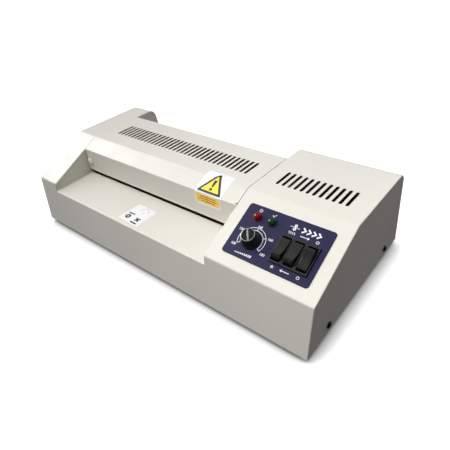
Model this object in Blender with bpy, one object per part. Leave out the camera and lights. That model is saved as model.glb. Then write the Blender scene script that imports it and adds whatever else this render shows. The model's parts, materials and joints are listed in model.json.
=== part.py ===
"""Pouch laminator: folded sheet casing, four geared rollers, heater shoes and a control panel.

Sizes are in millimetres and become metres as each mesh is finished. X runs along the rollers with
the control box at +X, the feed side faces -Y, and Z = 0 is the floor under the feet.
"""
import math

import bmesh
import bpy
from mathutils import Matrix, Vector

MM = 0.001
GAP = 0.3  # clearance between pieces that touch

# Casing
WIDTH = 390.0
DEPTH = 199.2
FOOT_HEIGHT = 6.0
TOP_Z = 99.5
FRONT_EDGE_Y = -93.7
FRONT_EDGE_Z = 64.7
SLOPE_BREAK_Y = -21.6
REAR_TOP_Y = 82.7
REAR_BEND_RADIUS = 12.0
SHEET = 1.2
TROUGH_LEFT = -161.3  # faces of the two cheeks that look at the feed opening
TROUGH_RIGHT = 81.1
SHELF_FRONT_Z = 54.8
SHELF_REAR_Z = 57.0
ROLLER_BAY = (-39.7, 52.0)
EXIT_SHELF_Z = (55.0, 51.0)
WINDOW_TOP_Z = 90.0

# Middle cover
COVER_LIP_Y = -41.2
COVER_LIP_BOTTOM_Z = 62.4
COVER_REAR_Y = 51.1
COVER_GAP = 0.5

# Fasteners and feet
SIDE_SCREW_Y = (-63.5, 61.7)
SIDE_SCREW_Z = 17.3
COVER_SCREW_INSET = 6.4
COVER_SCREW_Z = 74.3
SCREW_HOLE_RADIUS = 1.8
FOOT_X = 168.0
FOOT_Y = (-74.0, 76.0)

# Vent slots
VENT_WIDTH = 3.0
COVER_VENTS = (34, -140.6, 61.4, -0.7, 25.3)  # count, first x, last x, front y, rear y
BOX_VENTS = (12, 100.5, 173.4, -0.2, 24.8)

# Rollers and gears
NIP_Z = 57.0
MODULE = 1.0
ROLLER_TEETH = 26
IDLER_TEETH = 30
PINION_TEETH = 12
ROLLER_RADIUS = 12.8
SHAFT_RADIUS = 8.0
JOURNAL_RADIUS = 4.0
SLEEVE_X = (-158.3, 78.1)
FRONT_ROLLER_Y = -21.7
GEAR_X = (92.0, 98.0)
PRESSURE_ANGLE = math.radians(20)
BACKLASH = 0.86

# Side frames, as the inner and outer faces of each plate
LEFT_PLATE = (-168.2, -169.7)
RIGHT_PLATE = (88.0, 89.5)
PLATE_Y = (-43.0, 56.0)
PLATE_TOP_Z = 88.0
BUSH_BORE = 4.4

# Control panel: x, and distance up the slope from the front edge
PANEL_X = (94.3, 182.8)
PANEL_S = (11.7, 66.6)
PANEL_THICKNESS = 0.5
PANEL_TOP = GAP + PANEL_THICKNESS
KNOB_AT = (116.1, 31.1)
LAMPS = {"lamp_power": (109.2, (0.75, 0.02, 0.03)), "lamp_ready": (124.8, (0.02, 0.30, 0.10))}
LAMP_S = 54.6
SWITCH_PITCH = 12.5
SWITCH_MIDDLE_X = 158.65
SWITCH_S = 34.0
BEZEL_HALF_LENGTH = 14.0
SWITCH_HOLE_HALF_LENGTH = 13.5
SWITCH_BODY_HALF_LENGTH = 13.1
POCKET_HALF_LENGTH = 12.1
ROCKER_TILT = math.radians(14)
ROCKER_OUTLINE = [(-11.0, -3.4), (-9.6, 5.6), (0, 3.6), (9.6, 5.6), (11.0, -3.4)]
ROCKER_RADII = [1.5, 1.6, 20, 1.6, 1.5]
SWITCHES = {"mode": (-1, -1), "direction": (0, -1), "power": (1, 1)}  # place, end that stands up

# Rear fittings on the control box
INLET_AT = (150.0, 40.0)

CREAM = (0.82, 0.80, 0.74)
STEEL = (0.55, 0.56, 0.58)
BLACK = (0.03, 0.03, 0.035)
DROP = DEPTH / 2 + FRONT_EDGE_Y  # how far the front leans out over its height
UP_SLOPE = Vector((0, SLOPE_BREAK_Y - FRONT_EDGE_Y, TOP_Z - FRONT_EDGE_Z)).normalized()
SLOPE_NORMAL = Vector((1, 0, 0)).cross(UP_SLOPE)
CENTRE_DISTANCE = MODULE * ROLLER_TEETH
LOWER_Z = NIP_Z - CENTRE_DISTANCE / 2
UPPER_Z = NIP_Z + CENTRE_DISTANCE / 2
ROLLER_SPACING = MODULE * (ROLLER_TEETH + IDLER_TEETH)
REAR_ROLLER_Y = FRONT_ROLLER_Y + ROLLER_SPACING
IDLER_Y = FRONT_ROLLER_Y + ROLLER_SPACING / 2
PINION_Z = LOWER_Z + MODULE * (IDLER_TEETH + PINION_TEETH) / 2


# ---------------------------------------------------------------- shared tools


def clear_scene():
    for item in list(bpy.data.objects):
        bpy.data.objects.remove(item)


def finish_object(name, bm, frame=None):
    bmesh.ops.recalc_face_normals(bm, faces=bm.faces)
    bmesh.ops.scale(bm, vec=(MM, MM, MM), verts=bm.verts)
    mesh = bpy.data.meshes.new(name)
    bm.to_mesh(mesh)
    bm.free()
    item = bpy.data.objects.new(name, mesh)
    bpy.context.collection.objects.link(item)
    if frame is not None:
        item.matrix_world = frame
    bpy.context.view_layer.update()
    return item


def prism(name, outline, low, high, axis="X", frame=None):
    """Extrude a closed outline; it lies in YZ, XZ or XY for the axis X, Y or Z."""
    place = {
        "X": lambda a, b, c: (c, a, b),
        "Y": lambda a, b, c: (a, c, b),
        "Z": lambda a, b, c: (a, b, c),
    }[axis]
    bm = bmesh.new()
    rings = []
    for level in (low, high):
        rings.append([bm.verts.new(place(a, b, level)) for a, b in outline])
    bm.faces.new(rings[0])
    bm.faces.new(rings[1])
    count = len(outline)
    for i in range(count):
        j = (i + 1) % count
        bm.faces.new((rings[0][i], rings[0][j], rings[1][j], rings[1][i]))
    return finish_object(name, bm, frame)


def box(name, low, high, frame=None):
    outline = [(low[0], low[1]), (high[0], low[1]), (high[0], high[1]), (low[0], high[1])]
    return prism(name, outline, low[2], high[2], "Z", frame)


def lathe(name, profile, segments, frame=None, closed=False):
    """Turn (radius, height) points about local Z; a closed profile leaves a bore."""
    bm = bmesh.new()
    rings = []
    for radius, height in profile:
        if radius == 0:
            rings.append([bm.verts.new((0, 0, height))])
            continue
        turn = 2 * math.pi / segments
        ring = [(radius * math.cos(turn * i), radius * math.sin(turn * i), height) for i in range(segments)]
        rings.append([bm.verts.new(point) for point in ring])
    pairs = list(zip(rings, rings[1:]))
    if closed:
        pairs.append((rings[-1], rings[0]))
    for lower, upper in pairs:
        for i in range(segments):
            j = (i + 1) % segments
            corners = [lower[i % len(lower)], lower[j % len(lower)]]
            corners += [upper[j % len(upper)], upper[i % len(upper)]]
            bm.faces.new(list(dict.fromkeys(corners)))
    return finish_object(name, bm, frame)


def rod(radius, low, high):
    """Profile of a plain cylinder."""
    return [(0, low), (radius, low), (radius, high), (0, high)]


def combine(target, tool, operation="DIFFERENCE"):
    """Apply one Boolean and take its tool away."""
    modifier = target.modifiers.new("combine", "BOOLEAN")
    modifier.object = tool
    modifier.operation = operation
    bake(target)
    bpy.data.objects.remove(tool)


def bake(item):
    bpy.context.view_layer.update()
    result = item.evaluated_get(bpy.context.evaluated_depsgraph_get())
    mesh = bpy.data.meshes.new_from_object(result)
    item.modifiers.clear()
    item.data = mesh


def finish_surface(item, colour, roughness=0.5, metallic=0.0):
    item.data.shade_smooth()
    item.data.set_sharp_from_angle(angle=math.radians(32))
    material = bpy.data.materials.new(item.name)
    material.use_nodes = True
    shader = material.node_tree.nodes["Principled BSDF"]
    shader.inputs["Base Color"].default_value = (*colour, 1)
    shader.inputs["Roughness"].default_value = roughness
    shader.inputs["Metallic"].default_value = metallic
    item.data.materials.clear()
    item.data.materials.append(material)


def offset_corners(points, distance):
    """Move every side of a clockwise outline inwards and return the new corners."""
    lines = []
    for start, end in zip(points, points[1:] + points[:1]):
        along = (Vector(end) - Vector(start)).normalized()
        inward = Vector((along.y, -along.x))
        lines.append((Vector(start) + inward * distance, along))
    corners = []
    for (p, u), (q, v) in zip([lines[-1]] + lines[:-1], lines):
        cross = u.x * v.y - u.y * v.x
        step = ((q.x - p.x) * v.y - (q.y - p.y) * v.x) / cross
        corners.append(tuple(p + u * step))
    return corners


def round_corners(points, radii, steps):
    """Replace each corner that has a radius with an arc."""
    outline = []
    count = len(points)
    for i, (point, radius) in enumerate(zip(points, radii)):
        corner = Vector(point)
        if radius == 0:
            outline.append(tuple(corner))
            continue
        before = (Vector(points[i - 1]) - corner).normalized()
        after = (Vector(points[(i + 1) % count]) - corner).normalized()
        half = before.angle(after) / 2
        centre = corner + (before + after).normalized() * radius / math.sin(half)
        start = corner + before * radius / math.tan(half) - centre
        end = corner + after * radius / math.tan(half) - centre
        sweep = math.atan2(start.x * end.y - start.y * end.x, start.dot(end))
        for k in range(steps + 1):
            turn = Matrix.Rotation(sweep * k / steps, 2)
            outline.append(tuple(centre + turn @ start))
    return outline


def along_x(x, y, z):
    """Frame whose local Z lies along the machine's X."""
    turn = Matrix.Rotation(math.pi / 2, 4, "Y")
    return Matrix.Translation(Vector((x, y, z)) * MM) @ turn


def slope_frame(x, distance, height=0.0):
    """Frame on the control slope: local Y runs up the slope and local Z stands out of it."""
    origin = Vector((x, FRONT_EDGE_Y, FRONT_EDGE_Z)) + UP_SLOPE * distance + SLOPE_NORMAL * height
    frame = Matrix((Vector((1, 0, 0)), UP_SLOPE, SLOPE_NORMAL)).transposed().to_4x4()
    frame.translation = origin * MM
    return frame


def rear_y(z):
    return DEPTH / 2 - (DEPTH / 2 - REAR_TOP_Y) * (z - FOOT_HEIGHT) / (TOP_Z - FOOT_HEIGHT)


def rear_frame(x, z):
    """Frame on the leaning rear face: local Z points out of the machine."""
    up = Vector((0, rear_y(TOP_Z) - rear_y(FOOT_HEIGHT), TOP_Z - FOOT_HEIGHT)).normalized()
    side = Vector((-1, 0, 0))
    frame = Matrix((side, up, side.cross(up))).transposed().to_4x4()
    frame.translation = Vector((x, rear_y(z), z)) * MM
    return frame


def slots(name, vents, low_z, high_z):
    """One cutter with a round-ended prism for every vent slot."""
    count, first_x, last_x, front_y, rear_edge = vents
    radius = VENT_WIDTH / 2
    bm = bmesh.new()
    for k in range(count):
        x = first_x + (last_x - first_x) * k / (count - 1)
        outline = []
        for y, start in ((rear_edge - radius, 0), (front_y + radius, math.pi)):
            for step in range(5):
                angle = start + math.pi * step / 4
                outline.append((x + radius * math.cos(angle), y + radius * math.sin(angle)))
        rings = [[bm.verts.new((a, b, z)) for a, b in outline] for z in (low_z, high_z)]
        bm.faces.new(rings[0])
        bm.faces.new(rings[1])
        for i in range(len(outline)):
            j = (i + 1) % len(outline)
            bm.faces.new((rings[0][i], rings[0][j], rings[1][j], rings[1][i]))
    return finish_object(name, bm)


# ---------------------------------------------------------------- casing and base


def casing_corners(bottom_z):
    """Side view of the casing, clockwise, its leaning faces carried down to bottom_z."""
    lean = DROP / (FRONT_EDGE_Z - FOOT_HEIGHT)
    front_bottom = (FRONT_EDGE_Y - lean * (FRONT_EDGE_Z - bottom_z), bottom_z)
    return [
        front_bottom,
        (FRONT_EDGE_Y, FRONT_EDGE_Z),
        (SLOPE_BREAK_Y, TOP_Z),
        (REAR_TOP_Y, TOP_Z),
        (rear_y(bottom_z), bottom_z),
    ]


def casing_outline(inset=0.0):
    corners = offset_corners(casing_corners(-10), inset)
    radii = [0, 2.5 - inset, 6 - inset, REAR_BEND_RADIUS - inset, 0]
    return round_corners(corners, radii, 5)


def bevel_edges(item, width):
    modifier = item.modifiers.new("edges", "BEVEL")
    modifier.width = width * MM
    modifier.segments = 2
    modifier.limit_method = "ANGLE"
    modifier.angle_limit = math.radians(35)
    bake(item)


def trough_outline():
    bay_front, bay_rear = ROLLER_BAY
    beyond = DEPTH
    return [
        (-beyond, SHELF_FRONT_Z - (SHELF_REAR_Z - SHELF_FRONT_Z) * 2),
        (bay_front, SHELF_REAR_Z),
        (bay_front, -20),
        (bay_rear, -20),
        (bay_rear, EXIT_SHELF_Z[0]),
        (beyond, EXIT_SHELF_Z[1] - 4),
        (beyond, 2 * TOP_Z),
        (-beyond, 2 * TOP_Z),
    ]


def under_shelf_outlines():
    """The hollows under the feed shelf and under the exit shelf, each with a turned-down edge."""
    bay_front, bay_rear = ROLLER_BAY
    inner = offset_corners(casing_corners(-10), SHEET)
    edge_drop = 6.0

    def front_inner_y(z):
        share = (z - inner[0][1]) / (inner[1][1] - inner[0][1])
        return inner[0][0] + (inner[1][0] - inner[0][0]) * share

    front = [
        inner[0],
        (front_inner_y(SHELF_FRONT_Z - SHEET - 0.2), SHELF_FRONT_Z - SHEET - 0.2),
        (bay_front - SHEET, SHELF_REAR_Z - SHEET),
        (bay_front - SHEET, SHELF_REAR_Z - edge_drop),
        (bay_front + 1, SHELF_REAR_Z - edge_drop),
        (bay_front + 1, inner[0][1]),
    ]
    top_rear_y = rear_y(EXIT_SHELF_Z[1]) - SHEET - 0.2
    rear = [
        inner[4],
        (bay_rear - 1, inner[4][1]),
        (bay_rear - 1, EXIT_SHELF_Z[0] - edge_drop),
        (bay_rear + SHEET, EXIT_SHELF_Z[0] - edge_drop),
        (bay_rear + SHEET, EXIT_SHELF_Z[0] - SHEET - 0.1),
        (top_rear_y, EXIT_SHELF_Z[1] - SHEET + 0.2),
    ]
    return front, rear


def build_casing():
    half = WIDTH / 2
    casing = prism("outer_casing", casing_outline(), -half, half)
    combine(casing, prism("trough", trough_outline(), TROUGH_LEFT, TROUGH_RIGHT))
    bevel_edges(casing, 1.0)
    inner = casing_outline(SHEET)
    combine(casing, prism("left_hollow", inner, -half + SHEET, TROUGH_LEFT - SHEET))
    combine(casing, prism("right_hollow", inner, TROUGH_RIGHT + SHEET, half - SHEET))
    for outline in under_shelf_outlines():
        combine(casing, prism("under_shelf", outline, TROUGH_LEFT - 10, TROUGH_RIGHT + 10))
    for x in (TROUGH_LEFT - SHEET / 2, TROUGH_RIGHT + SHEET / 2):
        window_low = (x - 2, COVER_LIP_Y + SHEET, -20)
        window_high = (x + 2, ROLLER_BAY[1], WINDOW_TOP_Z)
        combine(casing, box("window", window_low, window_high))
    combine(casing, box("bottom", (-half - 5, -DEPTH, -30), (half + 5, DEPTH, FOOT_HEIGHT)))
    combine(casing, slots("vents", BOX_VENTS, TOP_Z - 5, TOP_Z + 5))
    cut_panel_holes(casing)
    for x, y, z, _ in side_screw_places():
        combine(casing, lathe("hole", rod(SCREW_HOLE_RADIUS, -3, 3), 8, along_x(x, y, z)))
    cut_rear_holes(casing)
    finish_surface(casing, CREAM, 0.45)


def cut_panel_holes(item):
    """Openings shared by the sheet and the label: knob bush, lamps and the row of switches."""
    combine(item, lathe("hole", rod(4.1, -3, 3), 16, slope_frame(*KNOB_AT)))
    for x, _ in LAMPS.values():
        combine(item, lathe("hole", rod(3.8, -3, 3), 16, slope_frame(x, LAMP_S)))
    low = (-1.5 * SWITCH_PITCH, -SWITCH_HOLE_HALF_LENGTH, -3)
    high = (1.5 * SWITCH_PITCH, SWITCH_HOLE_HALF_LENGTH, 3)
    combine(item, box("hole", low, high, slope_frame(SWITCH_MIDDLE_X, SWITCH_S)))


def cut_rear_holes(item):
    combine(item, box("hole", (-13.9, -10.3, -3), (13.9, 10.3, 3), rear_frame(*INLET_AT)))


def build_base_pan():
    """Tray that closes the bottom; its walls stand just inside the casing."""
    clearance = SHEET + 0.4
    half = WIDTH / 2 - clearance
    corners = offset_corners(casing_corners(-10), clearance)
    pan = prism("base_pan", corners, -half, half)
    inner = offset_corners(casing_corners(-10), clearance + SHEET)
    hollow = prism("hollow", inner, -half + SHEET, half - SHEET)
    floor = FOOT_HEIGHT + SHEET
    combine(hollow, box("below", (-WIDTH, -DEPTH, -50), (WIDTH, DEPTH, floor)))
    combine(pan, hollow)
    combine(pan, box("above", (-WIDTH, -DEPTH, 24), (WIDTH, DEPTH, 200)))
    combine(pan, box("below", (-WIDTH, -DEPTH, -50), (WIDTH, DEPTH, FOOT_HEIGHT)))
    for x, y, z, side in side_screw_places():
        centre = x - side * clearance
        combine(pan, lathe("hole", rod(SCREW_HOLE_RADIUS, -3, 3), 8, along_x(centre, y, z)))
    finish_surface(pan, STEEL, 0.4, 0.9)


def side_screw_places():
    return [(side * WIDTH / 2, y, SIDE_SCREW_Z, side) for side in (1, -1) for y in SIDE_SCREW_Y]


def build_side_screws():
    names = ("right_front", "right_rear", "left_front", "left_rear")
    profile = [(0, -6), (1.4, -6), (1.4, GAP), (3.6, GAP), (3.6, 1.3), (2.6, 2.2), (0, 2.2)]
    for name, (x, y, z, side) in zip(names, side_screw_places()):
        frame = along_x(x, y, z)
        if side < 0:
            frame = frame @ Matrix.Rotation(math.pi, 4, "Y")
        screw = lathe("casing_screw_" + name, profile, 12, frame)
        finish_surface(screw, BLACK, 0.4, 0.6)


def build_feet():
    profile = [(0, 0), (8, 0), (9, 1.2), (9, FOOT_HEIGHT - GAP), (0, FOOT_HEIGHT - GAP)]
    for depth_name, y in zip(("front", "rear"), FOOT_Y):
        for side_name, x in (("left", -FOOT_X), ("right", FOOT_X)):
            frame = Matrix.Translation(Vector((x, y, 0)) * MM)
            foot = lathe("foot_" + depth_name + "_" + side_name, profile, 16, frame)
            finish_surface(foot, BLACK, 0.8)


def build_mid_cover():
    """Folded cover between the cheeks: front lip, slope strip, vented top and rear lip."""
    left = TROUGH_LEFT + COVER_GAP
    right = TROUGH_RIGHT - COVER_GAP
    slope_rise = (TOP_Z - FRONT_EDGE_Z) / (SLOPE_BREAK_Y - FRONT_EDGE_Y)
    lip_top = FRONT_EDGE_Z + (COVER_LIP_Y - FRONT_EDGE_Y) * slope_rise
    corners = [
        (COVER_LIP_Y, 20),
        (COVER_LIP_Y, lip_top),
        (SLOPE_BREAK_Y, TOP_Z),
        (COVER_REAR_Y, TOP_Z),
        (COVER_REAR_Y, 20),
    ]
    cover = prism("mid_cover", round_corners(corners, [0, 1.6, 6, 2, 0], 4), left, right)
    inner = round_corners(offset_corners(corners, SHEET), [0, 0.6, 5, 0.8, 0], 4)
    hollow = prism("hollow", inner, left + SHEET, right - SHEET)
    combine(cover, hollow)
    combine(cover, box("below", (left - 5, -90, 0), (right + 5, 90, COVER_LIP_BOTTOM_Z)))
    for x in (left, right):
        side_low = (x - 2, COVER_LIP_Y + SHEET, 0)
        side_high = (x + 2, COVER_REAR_Y - SHEET, WINDOW_TOP_Z + 1)
        combine(cover, box("side", side_low, side_high))
    combine(cover, slots("vents", COVER_VENTS, TOP_Z - 5, TOP_Z + 5))
    for x, y, z in cover_screw_places():
        hole = lathe("hole", rod(1.9, -5, 5), 8, screw_frame(x, y, z))
        combine(cover, hole)
    finish_surface(cover, CREAM, 0.45)


def cover_screw_places():
    ends = (TROUGH_LEFT + COVER_SCREW_INSET, TROUGH_RIGHT - COVER_SCREW_INSET)
    return [(x, COVER_LIP_Y, COVER_SCREW_Z) for x in ends]


def screw_frame(x, y, z):
    """Frame whose local Z points out of the front."""
    turn = Matrix.Rotation(math.pi / 2, 4, "X")
    return Matrix.Translation(Vector((x, y, z)) * MM) @ turn


def build_cover_screws():
    profile = [(0, -4.4), (1.4, -4.4), (1.4, GAP), (5.3, GAP), (5.3, 1.6), (3.8, 3.2), (0, 3.2)]
    for name, place in zip(("left", "right"), cover_screw_places()):
        screw = lathe("cover_screw_" + name, profile, 12, screw_frame(*place))
        finish_surface(screw, CREAM, 0.4, 0.3)


# ---------------------------------------------------------------- chassis


def build_side_frame(name, plate, with_axle):
    inner, outer = plate
    side = 1 if outer > inner else -1
    low, high = min(plate), max(plate)
    floor = FOOT_HEIGHT + SHEET + GAP
    front, rear = PLATE_Y
    outline = [
        (front, floor),
        (rear, floor),
        (rear, PLATE_TOP_Z - 12),
        (rear - 10, PLATE_TOP_Z),
        (COVER_LIP_Y + 5, PLATE_TOP_Z),
        (COVER_LIP_Y + 5, 66),
        (front, 50),
    ]
    frame = prism(name, outline, low, high)
    foot_low = (outer - 0.2 if side > 0 else outer - 12, front + 4, floor)
    foot_high = (outer + 12 if side > 0 else outer + 0.2, rear - 4, floor + 1.5)
    combine(frame, box("foot", foot_low, foot_high), "UNION")
    for y in (FRONT_ROLLER_Y, REAR_ROLLER_Y):
        hole = lathe("hole", rod(7.2, -3, 3), 16, along_x(inner, y, LOWER_Z))
        combine(frame, hole)
        slot_low = (low - 2, y - 7, UPPER_Z - 8)
        slot_high = (high + 2, y + 7, UPPER_Z + 9.6)
        combine(frame, box("slot", slot_low, slot_high))
        tab_low = (min(inner - side * 6.5, inner + side * 0.2), y - 5, PLATE_TOP_Z - 1.5)
        tab_high = (max(inner - side * 6.5, inner + side * 0.2), y + 5, PLATE_TOP_Z)
        combine(frame, box("tab", tab_low, tab_high), "UNION")
    if with_axle:
        axle = rod(3, -0.2, GEAR_X[1] - outer + 1.5)
        combine(frame, lathe("axle", axle, 16, along_x(outer, IDLER_Y, LOWER_Z)), "UNION")
    finish_surface(frame, STEEL, 0.35, 0.95)


def build_tie_bars():
    """Angle bars that join the side frames behind the cover's two lips."""
    left = LEFT_PLATE[0] + GAP
    right = RIGHT_PLATE[0] - GAP
    front_face = COVER_LIP_Y + SHEET + GAP
    front = [
        (front_face, 66),
        (front_face, PLATE_TOP_Z - 3),
        (front_face + 4.2, PLATE_TOP_Z - 3),
        (front_face + 4.2, PLATE_TOP_Z - 4.5),
        (front_face + 1.5, PLATE_TOP_Z - 4.5),
        (front_face + 1.5, 66),
    ]
    bar = prism("front_tie_bar", front, left, right)
    for x, _, z in cover_screw_places():
        hole = lathe("hole", rod(SCREW_HOLE_RADIUS, -3, 3), 8, screw_frame(x, front_face, z))
        combine(bar, hole)
    finish_surface(bar, STEEL, 0.35, 0.95)
    rear_face = COVER_REAR_Y - SHEET - GAP
    rear = [
        (rear_face, 74),
        (rear_face, PLATE_TOP_Z - 3),
        (rear_face - 6, PLATE_TOP_Z - 3),
        (rear_face - 6, PLATE_TOP_Z - 4.5),
        (rear_face - 1.5, PLATE_TOP_Z - 4.5),
        (rear_face - 1.5, 74),
    ]
    finish_surface(prism("rear_tie_bar", rear, left + 6.8, right - 6.8), STEEL, 0.35, 0.95)


# ---------------------------------------------------------------- rollers


def roller_places():
    places = {}
    for pair, y in (("front", FRONT_ROLLER_Y), ("rear", REAR_ROLLER_Y)):
        places[pair + "_lower"] = (y, LOWER_Z)
        places[pair + "_upper"] = (y, UPPER_Z)
    return places


def build_roller(name, y, z):
    sleeve_start, sleeve_end = SLEEVE_X
    left_end = LEFT_PLATE[1] - 4
    right_end = GEAR_X[1] + 2
    frame = along_x(0, y, z)
    shoulder = 2.0
    shaft = [
        (0, left_end),
        (JOURNAL_RADIUS, left_end),
        (JOURNAL_RADIUS, sleeve_start - shoulder),
        (SHAFT_RADIUS, sleeve_start - shoulder),
        (SHAFT_RADIUS, sleeve_end + shoulder),
        (JOURNAL_RADIUS, sleeve_end + shoulder),
        (JOURNAL_RADIUS, right_end),
        (0, right_end),
    ]
    finish_surface(lathe("roller_shaft_" + name, shaft, 16, frame), STEEL, 0.3, 0.95)
    bore = SHAFT_RADIUS + GAP + 0.1
    sleeve = [
        (bore, sleeve_start),
        (ROLLER_RADIUS, sleeve_start),
        (ROLLER_RADIUS, sleeve_end),
        (bore, sleeve_end),
    ]
    finish_surface(lathe("roller_sleeve_" + name, sleeve, 32, frame, closed=True), (0.28, 0.06, 0.04), 0.6)


def build_bushes():
    for side_name, plate in (("left", LEFT_PLATE), ("right", RIGHT_PLATE)):
        inner, outer = plate
        side = 1 if outer > inner else -1
        for pair, y in (("front", FRONT_ROLLER_Y), ("rear", REAR_ROLLER_Y)):
            inward = [(BUSH_BORE, 1.8), (6.8, 1.8), (6.8, -GAP), (8.6, -GAP), (8.6, -2.3), (BUSH_BORE, -2.3)]
            frame = along_x(inner, y, LOWER_Z)
            if side < 0:
                frame = frame @ Matrix.Rotation(math.pi, 4, "Y")
            lower = lathe("lower_bush_" + pair + "_" + side_name, inward, 16, frame, closed=True)
            finish_surface(lower, (0.75, 0.68, 0.5), 0.5)
            ends = sorted((inner - side * 6, outer + side * 1.5))
            low = (ends[0], y - 6.7, UPPER_Z - 7.5)
            high = (ends[1], y + 6.7, UPPER_Z + 7.5)
            upper = box("upper_bush_" + pair + "_" + side_name, low, high)
            bore = rod(BUSH_BORE, -20, 20)
            combine(upper, lathe("bore", bore, 16, along_x(inner, y, UPPER_Z)))
            finish_surface(upper, (0.75, 0.68, 0.5), 0.5)


def build_spring(name, x, y, low_z, high_z):
    """Compression spring as a tube swept along its helix."""
    turns, per_turn, sides = 4, 8, 5
    wire, radius = 0.45, 2.2
    rise = high_z - low_z - 2 * wire
    bm = bmesh.new()
    rings = []
    count = turns * per_turn + 1
    for i in range(count):
        angle = 2 * math.pi * i / per_turn
        centre = Vector((x + radius * math.cos(angle), y + radius * math.sin(angle), 0))
        centre.z = low_z + wire + rise * i / (count - 1)
        outward = Vector((math.cos(angle), math.sin(angle), 0))
        ring = []
        for k in range(sides):
            around = 2 * math.pi * k / sides
            offset = outward * math.cos(around) + Vector((0, 0, math.sin(around)))
            ring.append(bm.verts.new(centre + offset * wire))
        rings.append(ring)
    for lower, upper in zip(rings, rings[1:]):
        for k in range(sides):
            j = (k + 1) % sides
            bm.faces.new((lower[k], lower[j], upper[j], upper[k]))
    bm.faces.new(rings[0])
    bm.faces.new(rings[-1])
    finish_surface(finish_object(name, bm), STEEL, 0.3, 1.0)


def build_springs():
    for side_name, plate in (("left", LEFT_PLATE), ("right", RIGHT_PLATE)):
        side = 1 if plate[1] > plate[0] else -1
        x = plate[0] - side * 3.2
        for pair, y in (("front", FRONT_ROLLER_Y), ("rear", REAR_ROLLER_Y)):
            low_z = UPPER_Z + 7.5 + GAP
            high_z = PLATE_TOP_Z - 1.5 - GAP
            build_spring("pressure_spring_" + pair + "_" + side_name, x, y, low_z, high_z)


# ---------------------------------------------------------------- drive


def gear_outline(teeth, tooth_angle):
    """Flanks follow the involute at the root and at the tip; one tooth is centred on tooth_angle."""
    pitch_radius = MODULE * teeth / 2
    base_radius = pitch_radius * math.cos(PRESSURE_ANGLE)
    tip_radius = pitch_radius + 0.85 * MODULE
    root_radius = pitch_radius - 1.25 * MODULE

    def involute(radius):
        angle = math.acos(min(1.0, base_radius / radius))
        return math.tan(angle) - angle

    def half_angle(radius):
        at_pitch = math.pi / (2 * teeth) * BACKLASH + math.tan(PRESSURE_ANGLE) - PRESSURE_ANGLE
        return at_pitch - involute(max(radius, base_radius))

    outline = []
    for k in range(teeth):
        middle = tooth_angle + 2 * math.pi * k / teeth
        for radius, sign in ((root_radius, -1), (tip_radius, -1), (tip_radius, 1), (root_radius, 1)):
            angle = middle + sign * half_angle(radius)
            outline.append((radius * math.cos(angle), radius * math.sin(angle)))
    return outline


def build_gear(name, teeth, tooth_angle, y, z, bore, colour):
    """Spur gear whose origin lies on its axis."""
    low, high = GEAR_X
    place = Matrix.Translation(Vector((low, y, z)) * MM)
    gear = prism(name, gear_outline(teeth, tooth_angle), 0, high - low, "X", place)
    if bore:
        cutter = rod(bore, -20, 20)
        combine(gear, lathe("bore", cutter, 16, along_x(low, y, z)))
    finish_surface(gear, colour, 0.5)
    return gear


def build_gear_train():
    white = (0.8, 0.8, 0.76)
    up = math.pi / 2
    for name, (y, z) in roller_places().items():
        tooth = up if name.endswith("lower") else up + math.pi / ROLLER_TEETH
        build_gear("roller_gear_" + name, ROLLER_TEETH, tooth, y, z, JOURNAL_RADIUS + GAP, white)
    build_gear("idler_gear", IDLER_TEETH, 0.0, IDLER_Y, LOWER_Z, 3.3, white)
    pinion = build_gear("motor_pinion", PINION_TEETH, -up, IDLER_Y, PINION_Z, 0, STEEL)
    shaft = rod(2, -1, 9)
    combine(pinion, lathe("shaft", shaft, 12, along_x(GEAR_X[0], IDLER_Y, PINION_Z)), "UNION")


def build_motor():
    """Geared synchronous motor; its shaft end stands above the middle of the can."""
    face = GEAR_X[1] + 4
    offset = 12.0
    centre_z = PINION_Z - offset
    can = [(0, 0), (27, 0), (27, 24), (24, 27), (0, 27)]
    motor = lathe("drive_motor", can, 28, along_x(face, IDLER_Y, centre_z))
    post_length = face - RIGHT_PLATE[1] - GAP
    for z in (centre_z - 31, centre_z + 31):
        ear_low = (face, IDLER_Y - 5, min(z, centre_z) - (5 if z < centre_z else 0))
        ear_high = (face + 2, IDLER_Y + 5, max(z, centre_z) + (5 if z > centre_z else 0))
        combine(motor, box("ear", ear_low, ear_high), "UNION")
        post = rod(2.8, -post_length, 1)
        combine(motor, lathe("post", post, 10, along_x(face, IDLER_Y, z)), "UNION")
    pocket = rod(2.5, -1, 5)
    combine(motor, lathe("pocket", pocket, 12, along_x(face, IDLER_Y, PINION_Z)))
    finish_surface(motor, (0.6, 0.58, 0.5), 0.35, 0.8)


# ---------------------------------------------------------------- heat and electrics


def build_heater_shoes():
    """Two aluminium bars, one above and one below the path between the roller pairs."""
    left = LEFT_PLATE[0] + GAP
    right = RIGHT_PLATE[0] - GAP
    reach = (ROLLER_SPACING - 2 * ROLLER_RADIUS) / 2 - 2.2
    for name, sign in (("heater_shoe_lower", -1), ("heater_shoe_upper", 1)):
        near, flare, far = 2.0, 3.5, 11.0
        outline = [
            (IDLER_Y - reach, NIP_Z + sign * flare),
            (IDLER_Y - reach + 4, NIP_Z + sign * near),
            (IDLER_Y + reach - 4, NIP_Z + sign * near),
            (IDLER_Y + reach, NIP_Z + sign * flare),
            (IDLER_Y + reach, NIP_Z + sign * 7),
            (IDLER_Y + 8, NIP_Z + sign * far),
            (IDLER_Y - 8, NIP_Z + sign * far),
            (IDLER_Y - reach, NIP_Z + sign * 7),
        ]
        finish_surface(prism(name, outline, left, right), (0.7, 0.7, 0.72), 0.35, 1.0)


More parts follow.
